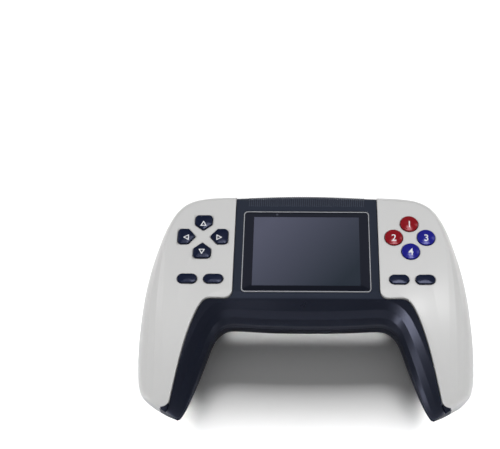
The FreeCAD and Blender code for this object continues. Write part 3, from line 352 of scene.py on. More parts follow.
def panel_tone(paint, base):
    """The face round the screen is a lighter panel that ends in a line below it: a step along Y."""
    _, y, _ = paint.axes()
    inside = paint.ramp(y, PANEL_END - PANEL_SOFT, PANEL_END + PANEL_SOFT)
    return paint.blend(inside, base, PANEL_TONE)


def rib_tone(paint, base):
    """Painted shade and light on the ribs: grooves stay dark and crowns are painted lighter by
    (1 - cos(2 pi (x + half) / pitch)) / 2.
    """
    x, _, _ = paint.axes()
    # Painted light on the ribs' crowns; the grooves keep a painted shade.
    crown = 0.5 - 0.5 * ((x + BAND_HALF) * (2.0 * math.pi / RIB_PITCH)).math("COSINE")
    return paint.blend(crown, base, CROWN_PAINTED_LIGHT)


print("panel ends", round((SCREEN_LINE - PANEL_END) / MM, 1), "mm below the screen's middle")

# %% Grips' ends
EDGE_SOFT = 0.1 * MM
WHITE_END = -56.0 * MM
WHITE_BASE = 1.3 * MM
WHITE_INNER = 80.0 * MM
WHITE_SLOPE = 0.9
SHELL_WHITE = (0.60, 0.60, 0.60, 1)
END_RADIUS = 4.0 * MM
END_CENTRE = (78.06 * MM, -57.01 * MM)
INNER_NORMAL = (0.957, 0.288)
RIM_NORMAL = (-0.500, 0.860)
BLACK = (0.004, 0.006, 0.013, 1)
MATT_BLACK = (0.013, 0.015, 0.025, 1)


def white_end(paint, base):
    """White goes round the grips' ends down to a thin dark line. It lies where both of these are
    positive: z - base - slope * max(y - end, 0), and |x| - inner."""
    x, y, z = paint.axes()
    above = z - WHITE_BASE - (y - WHITE_END).math("MAXIMUM", 0.0) * WHITE_SLOPE
    beside = x.math("ABSOLUTE") - WHITE_INNER
    white = paint.ramp(above.math("MINIMUM", beside), -EDGE_SOFT, EDGE_SOFT)
    return paint.blend(white, base, SHELL_WHITE)


def rounded_end(paint, base):
    """The inner corner of a plate's end is round. It is black where a point is farther from the arc's
    centre than the radius, and also behind that centre, seen along both sides' inward normals."""
    x, y, _ = paint.axes()
    right = x.math("ABSOLUTE") - END_CENTRE[0]
    up = y - END_CENTRE[1]
    beyond = (right * right + up * up).math("SQRT") - END_RADIUS
    for normal in (INNER_NORMAL, RIM_NORMAL):
        beyond = beyond.math("MINIMUM", (right * normal[0] + up * normal[1]) * -1.0)
    cut = paint.ramp(beyond, -EDGE_SOFT, EDGE_SOFT)
    paint.cover(cut, MATT_BLACK)
    return paint.blend(cut, base, BLACK)


print("ends of the plates: inner corner of", round(END_RADIUS / MM, 1), "mm")

# %% [markdown]
# ## Moulded plastic
# Moulded plastic is never one flat colour. It has a very fine spark-eroded grain, a slow drift of tone
# from the flow in the mould, and a gloss that changes a little where hands rub it. An image could
# carry that, but noise on the object's own coordinates has its real size, has no seams and needs no
# unwrapping. One function serves every plastic, with a grain of a few tenths of a millimetre. The
# black parts reflect a little blue, as in the photograph, which a tint on their gloss gives.

# %% Moulded plastic
DRIFT_SCALE = 9.0
WEAR_SCALE = 40.0
WEAR_RANGE = 0.12
NO_TINT = (1.0, 1.0, 1.0, 1.0)
BLUISH = (0.70, 0.74, 1.0, 1.0)


def moulded_plastic(name, colour, darker, roughness, grain_mm, depth_mm, edge_mm=None, over=None,
                    gloss=0.5, tint=NO_TINT):
    """Colour and gloss drift with two noises: colour to darker, and roughness within a small range.
    The relief is a third noise of the grain's size. over(paint, base) may lay a tone on the base."""
    paint = Paint(name, Roughness=roughness, IOR=1.5, Specular_IOR_Level=gloss, Specular_Tint=tint)
    base = paint.blend(paint.noise(DRIFT_SCALE, detail=3.0), colour, darker)
    paint.feed("Base Color", base if over is None else over(paint, base))
    wear = paint.noise(WEAR_SCALE, detail=4.0)
    paint.feed("Roughness", wear * WEAR_RANGE + (roughness - WEAR_RANGE / 2.0))
    grain = paint.noise(1.0 / (grain_mm * MM), detail=1.0)
    paint.bump(grain, depth_mm * MM, edge=None if edge_mm is None else edge_mm * MM)
    return paint.material


FRAME_BLACK = (0.003, 0.004, 0.009, 1)
FRAME_DRIFT = (0.004, 0.006, 0.012, 1)
# Dark colour of the ribs' grooves: a painted shade a little below the frame's black.
GROOVE_PAINTED_SHADE = (0.002, 0.003, 0.006, 1)
white_plastic = moulded_plastic("white_plastic", (0.62, 0.62, 0.615, 1), (0.59, 0.59, 0.59, 1),
                                roughness=0.40, grain_mm=0.35, depth_mm=0.010, edge_mm=0.9, over=rounded_end)
black_plastic = moulded_plastic("black_plastic", BLACK, (0.006, 0.008, 0.016, 1),
                                roughness=0.33, grain_mm=0.30, depth_mm=0.008, tint=BLUISH)
rear_plastic = moulded_plastic("rear_plastic", (0.005, 0.007, 0.014, 1), (0.006, 0.008, 0.016, 1),
                               roughness=0.50, grain_mm=0.30, depth_mm=0.008, over=white_end, gloss=0.3,
                               tint=BLUISH)
frame_plastic = moulded_plastic("frame_plastic", FRAME_BLACK, FRAME_DRIFT, roughness=0.30, grain_mm=0.30,
                                depth_mm=0.008, edge_mm=0.5, over=panel_tone, tint=BLUISH)
# The ribs' material carries painted shade in the grooves and painted light on the crowns.
rib_shaded_plastic = moulded_plastic("rib_shaded_plastic", GROOVE_PAINTED_SHADE, GROOVE_PAINTED_SHADE, roughness=0.38, grain_mm=0.30, depth_mm=0.008,
                              over=rib_tone, gloss=0.4, tint=BLUISH)
dark_plastic = moulded_plastic("dark_plastic", (0.035, 0.035, 0.037, 1), (0.05, 0.05, 0.05, 1),
                               roughness=0.5, grain_mm=0.4, depth_mm=0.01)
print("plastics of the housing:", len(bpy.data.materials))

# %% [markdown]
# ## Key plastics and inks
# The keys are made of glossier plastic than the housing: navy for the arrows and the small bars, red
# and blue for the round ones. On a coloured key a white reflection looks washed out, so their gloss
# is tinted with their own colour. White ink and the silver coat of the line round the screen could be
# metal and paint of their own, but in so thin a layer the same function with a flatter relief will do.

# %% Key plastics and inks
navy_plastic = moulded_plastic("navy_plastic", (0.003, 0.006, 0.022, 1), (0.004, 0.008, 0.028, 1),
                               roughness=0.24, grain_mm=0.4, depth_mm=0.004, gloss=0.35, tint=BLUISH)
red_plastic = moulded_plastic("red_plastic", (0.26, 0.006, 0.012, 1), (0.22, 0.005, 0.010, 1),
                              roughness=0.16, grain_mm=0.8, depth_mm=0.002, gloss=0.4,
                              tint=(1.0, 0.65, 0.70, 1.0))
blue_plastic = moulded_plastic("blue_plastic", (0.012, 0.012, 0.24, 1), (0.010, 0.010, 0.20, 1),
                               roughness=0.16, grain_mm=0.8, depth_mm=0.002, gloss=0.4,
                               tint=(0.70, 0.72, 1.0, 1.0))
ink_white = moulded_plastic("ink_white", (0.82, 0.83, 0.85, 1), (0.74, 0.75, 0.78, 1),
                            roughness=0.4, grain_mm=0.5, depth_mm=0.002)
silver_print = moulded_plastic("silver_print", (0.46, 0.47, 0.50, 1), (0.40, 0.41, 0.44, 1),
                               roughness=0.35, grain_mm=0.5, depth_mm=0.002)
print("with keys and inks:", len(bpy.data.materials))

# %% [markdown]
# ## Metals
# Contacts, socket shells and screws are stamped or turned metal, which keeps fine parallel lines from
# the tool. Scratches could be drawn in an image. Noise that is squeezed forty times more across than
# along gives the same lines from one node, and it drives colour, roughness and relief together.

# %% Metals
LINE_SCALES = (60.0, 2400.0, 2400.0)
LINE_SHADE = 0.86
LINE_DEPTH = 0.004 * MM


def stamped_metal(name, colour, roughness, streak):
    """Metal with fine lines along X: noise of coordinates * scales gives roughness + noise * streak."""
    paint = Paint(name, Metallic=1.0)
    stretched = paint.node("ShaderNodeVectorMath", {"operation": "MULTIPLY"}, paint.place(), LINE_SCALES)
    lines = paint.node("ShaderNodeTexNoise", {}, Vector=stretched, Scale=1.0, Detail=2.0)
    shaded = tuple(channel * LINE_SHADE for channel in colour[:3]) + (1,)
    paint.feed("Base Color", paint.blend(lines, colour, shaded))
    paint.feed("Roughness", lines * streak + roughness)
    paint.bump(lines, LINE_DEPTH)
    return paint.material


bright_metal = stamped_metal("bright_metal", (0.86, 0.87, 0.88, 1), roughness=0.34, streak=0.12)
contact_metal = stamped_metal("contact_metal", (0.66, 0.66, 0.64, 1), roughness=0.28, streak=0.2)
black_steel = stamped_metal("black_steel", (0.16, 0.16, 0.17, 1), roughness=0.34, streak=0.2)
print("with metals:", len(bpy.data.materials))

# %% [markdown]
# ## The lens
# The lens is one polished sheet, printed black from behind round a clear window. The display lies dark
# behind it. Real glass could be used, but light that passes twice through a thin gap is noisy and
# shows little of a dark display. So the sheet is opaque and glossy and carries what is seen in it: the
# border, the window with the display's dark tone under a slanting painted reflection, lighter at the
# top left, and the small spot of the status light.

# %% Lens
WINDOW_WIDTH = 61.0 * MM
WINDOW_HEIGHT = 45.7 * MM
WINDOW_SOFT = 0.06 * MM
SHEEN_RIGHT = 0.8
SHEEN_DOWN = 0.7
SHEEN_HALF = 30.0 * MM
# The display's two tones are its dark grey with a painted reflection, lighter at the top left.
DISPLAY_PAINTED_SHEEN = (0.084, 0.088, 0.128, 1)
DISPLAY_LESS_SHEEN = (0.014, 0.021, 0.030, 1)
SPOT_PLACE = (-17.1 * MM, SCREEN_LINE + 24.6 * MM, 34.4 * MM)
SPOT_CORE = 0.35 * MM
SPOT_RIM = 0.9 * MM
SPOT_TONE = (0.055, 0.060, 0.080, 1)
BORDER_TONE = (0.003, 0.004, 0.008, 1)
POLISH = 0.07
SMEAR_SCALE = 70.0
SMEAR_RANGE = 0.05


def lens_material():
    """The window is where max(|x| - width / 2, |y - middle| - height / 2) is negative. Inside it a painted
    reflection, lighter at the top left, fades with right * x - down * (y - middle), and the spot fades with
    the distance from its place."""
    paint = Paint("lens_glass", Roughness=POLISH, IOR=1.5, Specular_Tint=BLUISH)
    x, y, _ = paint.axes()
    up = y - SCREEN_LINE
    side = x.math("ABSOLUTE") - WINDOW_WIDTH / 2.0
    rise = up.math("ABSOLUTE") - WINDOW_HEIGHT / 2.0
    window = paint.ramp(side.math("MAXIMUM", rise), -WINDOW_SOFT, WINDOW_SOFT, 1.0, 0.0)
    # Painted reflection across the display: lighter at the top left, darker towards the bottom right.
    fade = paint.ramp(x * SHEEN_RIGHT - up * SHEEN_DOWN, -SHEEN_HALF, SHEEN_HALF)
    display = paint.blend(fade, DISPLAY_PAINTED_SHEEN, DISPLAY_LESS_SHEEN)
    apart = paint.node("ShaderNodeVectorMath", {"operation": "DISTANCE"}, paint.place(), SPOT_PLACE,
                       output="Value")
    spot = paint.ramp(apart, SPOT_CORE, SPOT_RIM, 1.0, 0.0)
    border = paint.blend(spot, BORDER_TONE, SPOT_TONE)
    paint.feed("Base Color", paint.blend(window, border, display))
    paint.feed("Roughness", paint.noise(SMEAR_SCALE, detail=4.0) * SMEAR_RANGE + POLISH)
    return paint.material


lens_glass = lens_material()
print("window:", round(WINDOW_WIDTH / MM, 1), "x", round(WINDOW_HEIGHT / MM, 1), "mm")

# %% [markdown]
# ## Rubber, board and film
# The inside isn't seen while the console is whole, but each piece still has the finish that it has on
# the bench: matt rubber mats and foam, a green board, an amber tail, a wrapped battery and a clear
# light pipe. They scatter light much as plastic does, so the same function makes them.

# %% Rubber, board and film
rubber = moulded_plastic("rubber", (0.30, 0.30, 0.31, 1), (0.36, 0.36, 0.36, 1),
                         roughness=0.7, grain_mm=0.3, depth_mm=0.02)
foam = moulded_plastic("foam", (0.02, 0.02, 0.02, 1), (0.05, 0.05, 0.05, 1),
                       roughness=0.9, grain_mm=0.5, depth_mm=0.08)
board_green = moulded_plastic("board_green", (0.02, 0.14, 0.07, 1), (0.015, 0.10, 0.05, 1),
                              roughness=0.35, grain_mm=1.2, depth_mm=0.02)
film = moulded_plastic("film", (0.42, 0.16, 0.02, 1), (0.34, 0.12, 0.02, 1),
                       roughness=0.3, grain_mm=1.0, depth_mm=0.002)
wrap = moulded_plastic("wrap", (0.04, 0.05, 0.08, 1), (0.06, 0.07, 0.10, 1),
                       roughness=0.4, grain_mm=2.0, depth_mm=0.03)
light_pipe = moulded_plastic("light_pipe", (0.55, 0.62, 0.55, 1), (0.45, 0.52, 0.46, 1),
                             roughness=0.15, grain_mm=1.0, depth_mm=0.001)
floor_paint = moulded_plastic("floor_paint", (0.97, 0.97, 0.97, 1), (0.96, 0.96, 0.96, 1),
                              roughness=0.9, grain_mm=20.0, depth_mm=0.01)
print("all finishes:", len(bpy.data.materials))

# %% [markdown]
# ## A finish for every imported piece
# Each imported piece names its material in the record. The pieces could be painted one by one. A table
# from those names to the finishes paints them all in one loop, so none can be forgotten. Only the
# mouldings that share a name but not a finish are listed by themselves.

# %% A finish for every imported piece
FINISHES = {
    "white_shell": white_plastic, "black_shell": black_plastic, "lens": lens_glass,
    "bright_trim": bright_metal, "navy_key": navy_plastic, "red_key": red_plastic,
    "blue_key": blue_plastic, "display_panel": lens_glass, "circuit_board": board_green,
    "chip": dark_plastic, "rubber_mat": rubber, "foam": foam, "contact_metal": contact_metal,
    "amber_film": film, "battery_wrap": wrap, "black_part": dark_plastic, "light_pipe": light_pipe,
    "screw_steel": black_steel,
}
OWN_FINISHES = {"front_frame": frame_plastic, "rear_shell": rear_plastic,
                "left_shoulder_button": black_plastic, "right_shoulder_button": black_plastic}

for entry in frame["record"]["subparts"]:
    materials = NODES[entry["node"]].data.materials
    materials.clear()
    materials.append(OWN_FINISHES.get(entry["node"], FINISHES[entry["material_slot"]]))
floor.data.materials.append(floor_paint)

# %% [markdown]
# ## Loops and profiles
# Most small pieces here are a plan carried through a profile. The plan is a closed loop, such as a
# circle, a slot or a pentagon with rounded corners. The profile says how far outside or inside that
# loop each row lies, and how high. Modifiers could bevel a plain solid, but they give little say over
# a rolled edge. A plan kept as arc centres and outward directions can be widened or narrowed without
# its corners getting sharp or folding over. These shapes are worked out in millimetres, and they
# become metres when they are put in their place.

# %% Plans
def rounded_loop(corners, radii, steps):
    """Convex plan with rounded corners, counter-clockwise, as arc centres, directions and radii.
    The centre of each corner's arc is corner - radius * (n1 + n2) / (1 + n1 . n2), where n1 and n2
    are the outward normals of the two sides that meet there."""
    corners = np.asarray(corners, dtype=float)
    radii = np.broadcast_to(np.asarray(radii, dtype=float), len(corners))
    sides = np.roll(corners, -1, axis=0) - corners
    normals = np.stack([sides[:, 1], -sides[:, 0]], axis=1)
    normals /= np.linalg.norm(normals, axis=1, keepdims=True)
    before = np.roll(normals, 1, axis=0)
    share = (before + normals) / (1.0 + np.sum(before * normals, axis=1, keepdims=True))
    centres = corners - radii[:, None] * share
    start = np.arctan2(before[:, 1], before[:, 0])
    turn = np.mod(np.arctan2(normals[:, 1], normals[:, 0]) - start, 2.0 * np.pi)
    angle = start[:, None] + turn[:, None] * np.linspace(0.0, 1.0, steps)
    directions = np.stack([np.cos(angle), np.sin(angle)], axis=-1).reshape(-1, 2)
    return np.repeat(centres, steps, axis=0), directions, np.repeat(radii, steps)


def denser(loop, times):
    """The same closed loop with extra entries between each two, where every quantity is interpolated."""
    count = len(loop[2])
    index = np.arange(count * times) / times
    spots = np.arange(count + 1)

    def between(values):
        return np.interp(index, spots, np.append(values, values[0]))

    centres = np.stack([between(loop[0][:, 0]), between(loop[0][:, 1])], axis=1)
    directions = np.stack([between(loop[1][:, 0]), between(loop[1][:, 1])], axis=1)
    directions /= np.linalg.norm(directions, axis=1, keepdims=True)
    return centres, directions, between(loop[2])


def round_loop(radius, steps=64):
    """Circle: one arc centre, with directions all round."""
    angle = np.linspace(0.0, 2.0 * np.pi, steps, endpoint=False)
    return np.zeros((steps, 2)), np.stack([np.cos(angle), np.sin(angle)], axis=1), np.full(steps, radius)


def oblong_loop(width, height, corner, steps=10):
    """Rectangle round the origin with four equal rounded corners."""
    x, y = width / 2.0, height / 2.0
    return rounded_loop([(x, -y), (x, y), (-x, y), (-x, -y)], corner, steps)


print("points round an oblong:", len(oblong_loop(2.0, 1.0, 0.2)[0]))

# %% Profiles
def carry(loop, profile):
    """Rows of the loop, one for each (d outside the plan, height): centre + (radius + d) * direction."""
    centres, directions, radii = loop
    profile = np.asarray(profile, dtype=float)
    reach = radii[None, :, None] + profile[:, 0, None, None]
    plan = centres[None] + reach * directions[None]
    height = np.broadcast_to(profile[:, 1, None, None], plan.shape[:2] + (1,))
    return np.concatenate([plan, height], axis=2)


def cap(row, crown, rings):
    """Rows that shrink to the loop's middle; height rises by crown * (1 - s * s), s from 1 to 0."""
    middle = row.mean(axis=0)
    share = np.linspace(1.0, 0.0, rings + 1)[1:, None, None]
    rows = middle + share * (row - middle)
    rows[..., 2] = row[None, :, 2] + crown * (1.0 - share[..., 0] ** 2)
    return rows


def closed(wall, crown=0.0, rings=2, base_rings=2):
    """A wall with a flat end at its first row and a crowned or flat one at its last."""
    return np.concatenate([cap(wall[0], 0.0, base_rings)[::-1], wall, cap(wall[-1], crown, rings)])


def arc(centre_out, centre_up, radius, start, end, steps):
    """Profile points on an arc: angle 0 points outwards and 90 degrees points up."""
    angle = np.radians(np.linspace(start, end, steps))
    return list(zip(centre_out + radius * np.cos(angle), centre_up + radius * np.sin(angle)))


def spun(points, degrees):
    """Points turned round Z: (x cos a - y sin a, x sin a + y cos a, z)."""
    angle = math.radians(degrees)
    spin = np.array([[math.cos(angle), -math.sin(angle), 0.0], [math.sin(angle), math.cos(angle), 0.0],
                     [0.0, 0.0, 1.0]])
    return points @ spin.T


def turned(points, degrees, place):
    """Points turned round Z and moved to their place, in metres."""
    return (spun(points, degrees) + np.asarray(place)) * MM


print("a circle through a profile of two rows:", carry(round_loop(1.0), [(0.0, 0.0), (0.0, 1.0)]).shape)

# %% Pieces
MERGE = 1e-7
SHARP = 35.0


def finish_mesh(mesh, sharp_degrees):
    """Merge the points of a pole or a seam, then shade smoothly, with sharp edges at hard turns."""
    work = bmesh.new()
    work.from_mesh(mesh)
    bmesh.ops.remove_doubles(work, verts=work.verts, dist=MERGE)
    bmesh.ops.recalc_face_normals(work, faces=work.faces)
    work.to_mesh(mesh)
    work.free()
    mesh.shade_smooth()
    mesh.set_sharp_from_angle(angle=math.radians(sharp_degrees))


def mesh_piece(name, mesh, body, material, sharp_degrees=SHARP):
    """Mesh made a finished piece that rides on a body."""
    finish_mesh(mesh, sharp_degrees)
    mesh.materials.clear()
    mesh.materials.append(material)
    made = new_object(name, mesh)
    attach(made, body)
    return made


def piece(name, points, body, material, closed_columns=True, sharp_degrees=SHARP):
    """Grid of points made a finished piece that rides on a body."""
    mesh = grid_mesh(name, points, closed_columns)
    return mesh_piece(name, mesh, body, material, sharp_degrees)


print("edges are sharp from", SHARP, "degrees")

# %% [markdown]
# ## Keys
# Each key is a moulded cap on a flange that the front frame traps, so only its crown stands out of the
# plate. The arrow keys are pentagons with softened corners that point at the middle of their cluster.
# The action keys are glossy low domes and the lower keys are short rounded bars. Each could be
# sculpted by itself, but one profile serves all of them: flange, upright wall, rolled edge, then a
# shallow crown. A key shape also knows the height of its crown, which the marks need later.

# %% Key shapes
LINE = SCREEN_LINE / MM
KEY_BASE = 31.3
FLANGE = 0.9
FLANGE_TOP = 32.3
FLANGE_BREAK = 0.12
HOLD = 0.1
ROLL_TURN = 84.0
ROLL_STEPS = 9


class KeyShape:
    """A plan, how far it stands out of the plate, the radius of its rolled edge and its crown's height."""

    def __init__(self, loop, rise, roll, crown):
        self.loop, self.roll, self.crown = loop, roll, crown
        self.top = FACE / MM + rise - crown
        self.edge = arc(-roll, self.top - roll, roll, 0.0, ROLL_TURN, ROLL_STEPS)

    def points(self):
        """Flange, wall and rolled edge as a profile, closed below by a flat end and above by the crown.
        Two rows hold the shading of the wall's ends upright."""
        profile = [(FLANGE - FLANGE_BREAK, KEY_BASE), (FLANGE, KEY_BASE + FLANGE_BREAK),
                   (FLANGE, FLANGE_TOP - FLANGE_BREAK), (FLANGE - FLANGE_BREAK, FLANGE_TOP),
                   (0.0, FLANGE_TOP), (0.0, FLANGE_TOP + HOLD), (0.0, self.top - self.roll - HOLD)]
        return closed(carry(self.loop, profile + self.edge), self.crown, rings=8, base_rings=3)

    def surface(self, x, y):
        """Crown's height: rim + crown * (1 - s * s), s being the distance to the middle over the rim's."""
        rim = carry(self.loop, self.edge[-1:])[0]
        middle = rim.mean(axis=0)
        angle = np.arctan2(rim[:, 1] - middle[1], rim[:, 0] - middle[0])
        reach = np.hypot(rim[:, 1] - middle[1], rim[:, 0] - middle[0])
        here = np.arctan2(y - middle[1], x - middle[0])
        share = np.hypot(y - middle[1], x - middle[0]) / np.interp(here, angle, reach, period=2.0 * np.pi)
        return rim[0, 2] + self.crown * (1.0 - share * share)


ARROW_STEPS = 8
ARROW_TIMES = 3


def pentagon(half, back, shoulder, tip, radii):
    """Pentagon with its tip down, from half its width and how far each level lies from its middle."""
    corners = [(-half, back), (-half, -shoulder), (0.0, -tip), (half, -shoulder), (half, back)]
    return denser(rounded_loop(corners, radii, ARROW_STEPS), ARROW_TIMES)


ROUND_DIAMETER = 10.3
ARROW_PLAN = pentagon(half=5.0, back=5.1, shoulder=1.0, tip=5.1, radii=[2.3, 1.6, 1.0, 1.6, 2.3])
ARROW = KeyShape(ARROW_PLAN, rise=1.5, roll=0.5, crown=0.5)
ROUND = KeyShape(round_loop(ROUND_DIAMETER / 2.0), rise=1.65, roll=0.5, crown=0.85)
BAR = KeyShape(denser(oblong_loop(width=10.9, height=5.7, corner=2.83), 2), rise=0.9, roll=0.35, crown=0.35)
print("arrow key loop:", len(ARROW.loop[0]), "points")

# %% Places of the keys
CLUSTER = (59.5, LINE + 8.1)
SPACING = 9.3
BAR_LINE = LINE - 19.4


def spot(side, right, up):
    """Middle of a key in the left cluster (side -1) or the right one (side 1)."""
    return (side * CLUSTER[0] + right * SPACING, CLUSTER[1] + up * SPACING, 0.0)


ARROWS = {"dpad_up": (spot(-1, 0, 1), 0), "dpad_left": (spot(-1, -1, 0), 90),
          "dpad_down": (spot(-1, 0, -1), 180), "dpad_right": (spot(-1, 1, 0), 270)}
ACTIONS = {"action_1": (spot(1, 0, 1), "red_key"), "action_2": (spot(1, -1, 0), "red_key"),
           "action_3": (spot(1, 1, 0), "blue_key"), "action_4": (spot(1, 0, -1), "blue_key")}
BARS = {"left_outer_pill": -66.9, "left_inner_pill": -52.2, "right_inner_pill": 52.2,
        "right_outer_pill": 66.9}
print("keys to make:", len(ARROWS) + len(ACTIONS) + len(BARS))

# %% Twelve keys
def add_key(body, node, shape, turn, place, slot):
    """Cap on a key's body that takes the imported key's place and is lit by the keys' own lamp too."""
    key = piece(body + "_cap", turned(shape.points(), turn, place), body, FINISHES[slot])
    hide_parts(node)
    KEYS_ONLY.objects.link(key)


for body, (place, turn) in ARROWS.items():
    add_key(body, body + "_key", ARROW, turn, place, "navy_key")
for number, (body, (place, slot)) in enumerate(ACTIONS.items(), start=1):
    add_key(body, "action_button_%d" % number, ROUND, 0, place, slot)
for body, across in BARS.items():
    add_key(body, body + "_key", BAR, 0, (across, BAR_LINE, 0.0), "navy_key")

# %% [markdown]
# ## Collars round the arrow keys
# The plate's openings have sharp corners where the keys' are soft, so the dark gap would be wider
# there. The plate could be cut again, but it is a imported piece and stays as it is. A thin white collar
# fills each corner instead, and an even gap runs round the key. It is a ring between two plans with
# the same number of points: the opening outside, the key's plan with the gap inside.

# %% Collars
COLLAR_TOP = 35.93
COLLAR_BASE = 34.7
COLLAR_GAP = 0.33
COLLAR_SUNK = 0.06
COLLAR_BREAK = (0.03, 0.15)
opening = pentagon(half=5.35, back=5.45, shoulder=1.175, tip=5.59, radii=0.02)
outside = carry(opening, [(COLLAR_SUNK, COLLAR_BASE), (COLLAR_SUNK, COLLAR_TOP)])
inside = carry(ARROW.loop, [(COLLAR_GAP, COLLAR_TOP),
                            (COLLAR_GAP - COLLAR_BREAK[0], COLLAR_TOP - COLLAR_BREAK[1]),
                            (COLLAR_GAP - COLLAR_BREAK[0], COLLAR_BASE)])
collar = np.concatenate([outside, inside, outside[:1]])
for body, (place, turn) in ARROWS.items():
    piece(body + "_collar", turned(collar, turn, place), "housing", white_plastic)
print("collars:", len(ARROWS))

# %% [markdown]
# ## Marks on the keys
# The arrow keys carry small outlined triangles and the action keys plain numbers, both printed in
# white ink a little below the middle of the crown. They could be a pattern in the key's material, but
# an edge this fine is cleaner as a shape. Ink is a layer of a few hundredths of a millimetre, so each
# mark is a thin raised shape that follows the key's crown.

# %% Triangles
INK = 0.05
INK_EDGE = INK * 0.8
INK_BREAK = 0.06
STROKE = 0.52
TRIANGLE_DROP = np.array([0.0, -1.2, 0.0])
triangle = denser(rounded_loop([(-1.9, -1.4), (1.9, -1.4), (0.0, 2.0)], 0.12, 5), 6)
stroke = [(0.0, -INK), (0.0, INK_EDGE), (-INK_BREAK, INK), (INK_BREAK - STROKE, INK),
          (-STROKE, INK_EDGE), (-STROKE, -INK), (0.0, -INK)]
for body, (place, turn) in ARROWS.items():
    ring = carry(triangle, stroke) + spun(TRIANGLE_DROP, -turn)
    ring[..., 2] += ARROW.surface(ring[..., 0], ring[..., 1])
    piece(body + "_mark", turned(ring, turn, place), body, ink_white)
print("triangles:", len(ARROWS))

# %% Outlines of the numbers
NUMBER_HEIGHT = 4.3
FIGURE_SHARE = 0.73
FIGURE_BOLD = 0.05
CHOP_STEP = 0.45
CHOP_REACH = 2.6


def number_mesh(name, text):
    """Figure of the built-in face, made a mesh with the ink's thickness; a figure fills 0.73 of the size."""
    figure = bpy.data.curves.new(name, "FONT")
    figure.body = text
    figure.size = NUMBER_HEIGHT / FIGURE_SHARE
    figure.extrude = INK / 2.0
    figure.offset = FIGURE_BOLD
    figure.align_x = "CENTER"
    figure.align_y = "CENTER"
    holder = new_object(name + "_figure", figure)
    bpy.context.view_layer.update()
    mesh = bpy.data.meshes.new_from_object(holder)
    bpy.data.objects.remove(holder)
    return mesh


def chop(mesh):
    """Cut a flat mesh by two sets of planes, so that its faces are small enough to follow a crown."""
    work = bmesh.new()
    work.from_mesh(mesh)
    for line in np.arange(-CHOP_REACH, CHOP_REACH, CHOP_STEP):
        for axis in (Vector((1.0, 0.0, 0.0)), Vector((0.0, 1.0, 0.0))):
            everything = work.verts[:] + work.edges[:] + work.faces[:]
            bmesh.ops.bisect_plane(work, geom=everything, plane_co=axis * float(line), plane_no=axis)
    work.to_mesh(mesh)
    work.free()


print("height of the numbers:", NUMBER_HEIGHT, "mm")

# %% Numbers
NUMBER_DROP = 1.1
NUMBER_LIFT = INK * 0.4


def read_points(mesh):
    """All points of a mesh as rows of three."""
    points = np.empty(len(mesh.vertices) * 3)
    mesh.vertices.foreach_get("co", points)
    return points.reshape(-1, 3)


for number, (body, (place, slot)) in enumerate(ACTIONS.items(), start=1):
    mesh = number_mesh("mark_%d" % number, str(number))
    chop(mesh)
    points = read_points(mesh)
    points[:, 1] -= NUMBER_DROP
    points[:, 2] += ROUND.surface(points[:, 0], points[:, 1]) + NUMBER_LIFT
    mesh.vertices.foreach_set("co", turned(points, 0, place).ravel())
    mesh_piece(body + "_mark", mesh, body, ink_white)
print("numbers:", len(ACTIONS))

# %% [markdown]
# ## The screen's lens and its bright line
# The lens sheet has its edge broken by a tiny round, which catches light. A thin silver line frames
# it. The line could be paint in the frame's material, but there it would stay flat. It is a bead
# with a half-round top, so it faces every light and reads as one even line in the photograph.

# %% Lens and line
LENS_BASE = 33.2
LENS_TOP = 34.4
LENS_ROUND = 0.25
LENS_BREAK = (0.3, 0.1)
LENS_LOOP = oblong_loop(width=71.8, height=52.4, corner=1.6)
sheet = [(-LENS_BREAK[0], LENS_BASE), (0.0, LENS_BASE + LENS_BREAK[1]), (0.0, LENS_TOP - LENS_ROUND)]
sheet += arc(-LENS_ROUND, LENS_TOP - LENS_ROUND, LENS_ROUND, 15.0, 90.0, 6)
lens_points = closed(carry(LENS_LOOP, sheet), rings=6, base_rings=3)
lens = piece("lens_sheet", turned(lens_points, 0, (0.0, LINE, 0.0)), "housing", lens_glass)
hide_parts("screen_lens")

BEAD_INNER = 0.1
BEAD_OUTER = 0.6
BEAD_RADIUS = 0.25
BEAD_CENTRE = LENS_TOP - 0.15
BEAD_SHOULDER = LENS_TOP - 0.12
bead = [(BEAD_INNER, LENS_BASE), (BEAD_OUTER, LENS_BASE), (BEAD_OUTER, BEAD_SHOULDER)]
bead += arc(BEAD_OUTER - BEAD_RADIUS, BEAD_CENTRE, BEAD_RADIUS, 0.0, 180.0, 9) + [(BEAD_INNER, LENS_BASE)]
line = piece("lens_line", turned(carry(LENS_LOOP, bead), 0, (0.0, LINE, 0.0)), "housing",
             silver_print)
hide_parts("lens_trim")
print("lens faces:", len(lens.data.polygons))

# %% [markdown]
# ## Fluted band
# The frame's top edge above the screen is fluted: fine upright ribs start at a line just above the
# screen and run over the rolled edge. A bump could fake them, but they show in the outline from
# above. So they are a shape: their height follows a cosine across the band, laid on the frame's own
# profile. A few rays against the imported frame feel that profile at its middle, and how much the edge
# curves back at each place across.

# %% Profile of the frame's top edge
FRAME_TOP = 34.6
BAND_START = LINE + 30.0
BAND_LAST = 28.5
BAND_ROWS = 34
FLAT_ROWS = 6
FLAT_END = 0.8
RAY_START = 200.0
FELT_FIRST = FRAME_TOP - 0.01
FELT_SECOND = 34.4
FELT_ROWS = 12
FELT_REACH = 36.0
FELT_PLACES = 13
FELT_HEIGHT = 31.0


def packed_surface(node):
    """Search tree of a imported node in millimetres; its faces are all triangles."""
    corners = np.empty(len(node.data.loops), dtype=np.int32)
    node.data.loops.foreach_get("vertex_index", corners)
    points = read_points(node.data) / MM
    return BVHTree.FromPolygons(points.tolist(), corners.reshape(-1, 3).tolist())


def edge_at(tree, across, height):
    """How far the frame reaches to the rear at a place across and a height."""
    return tree.ray_cast(Vector((across, RAY_START, height)), Vector((0.0, -1.0, 0.0)))[0].y


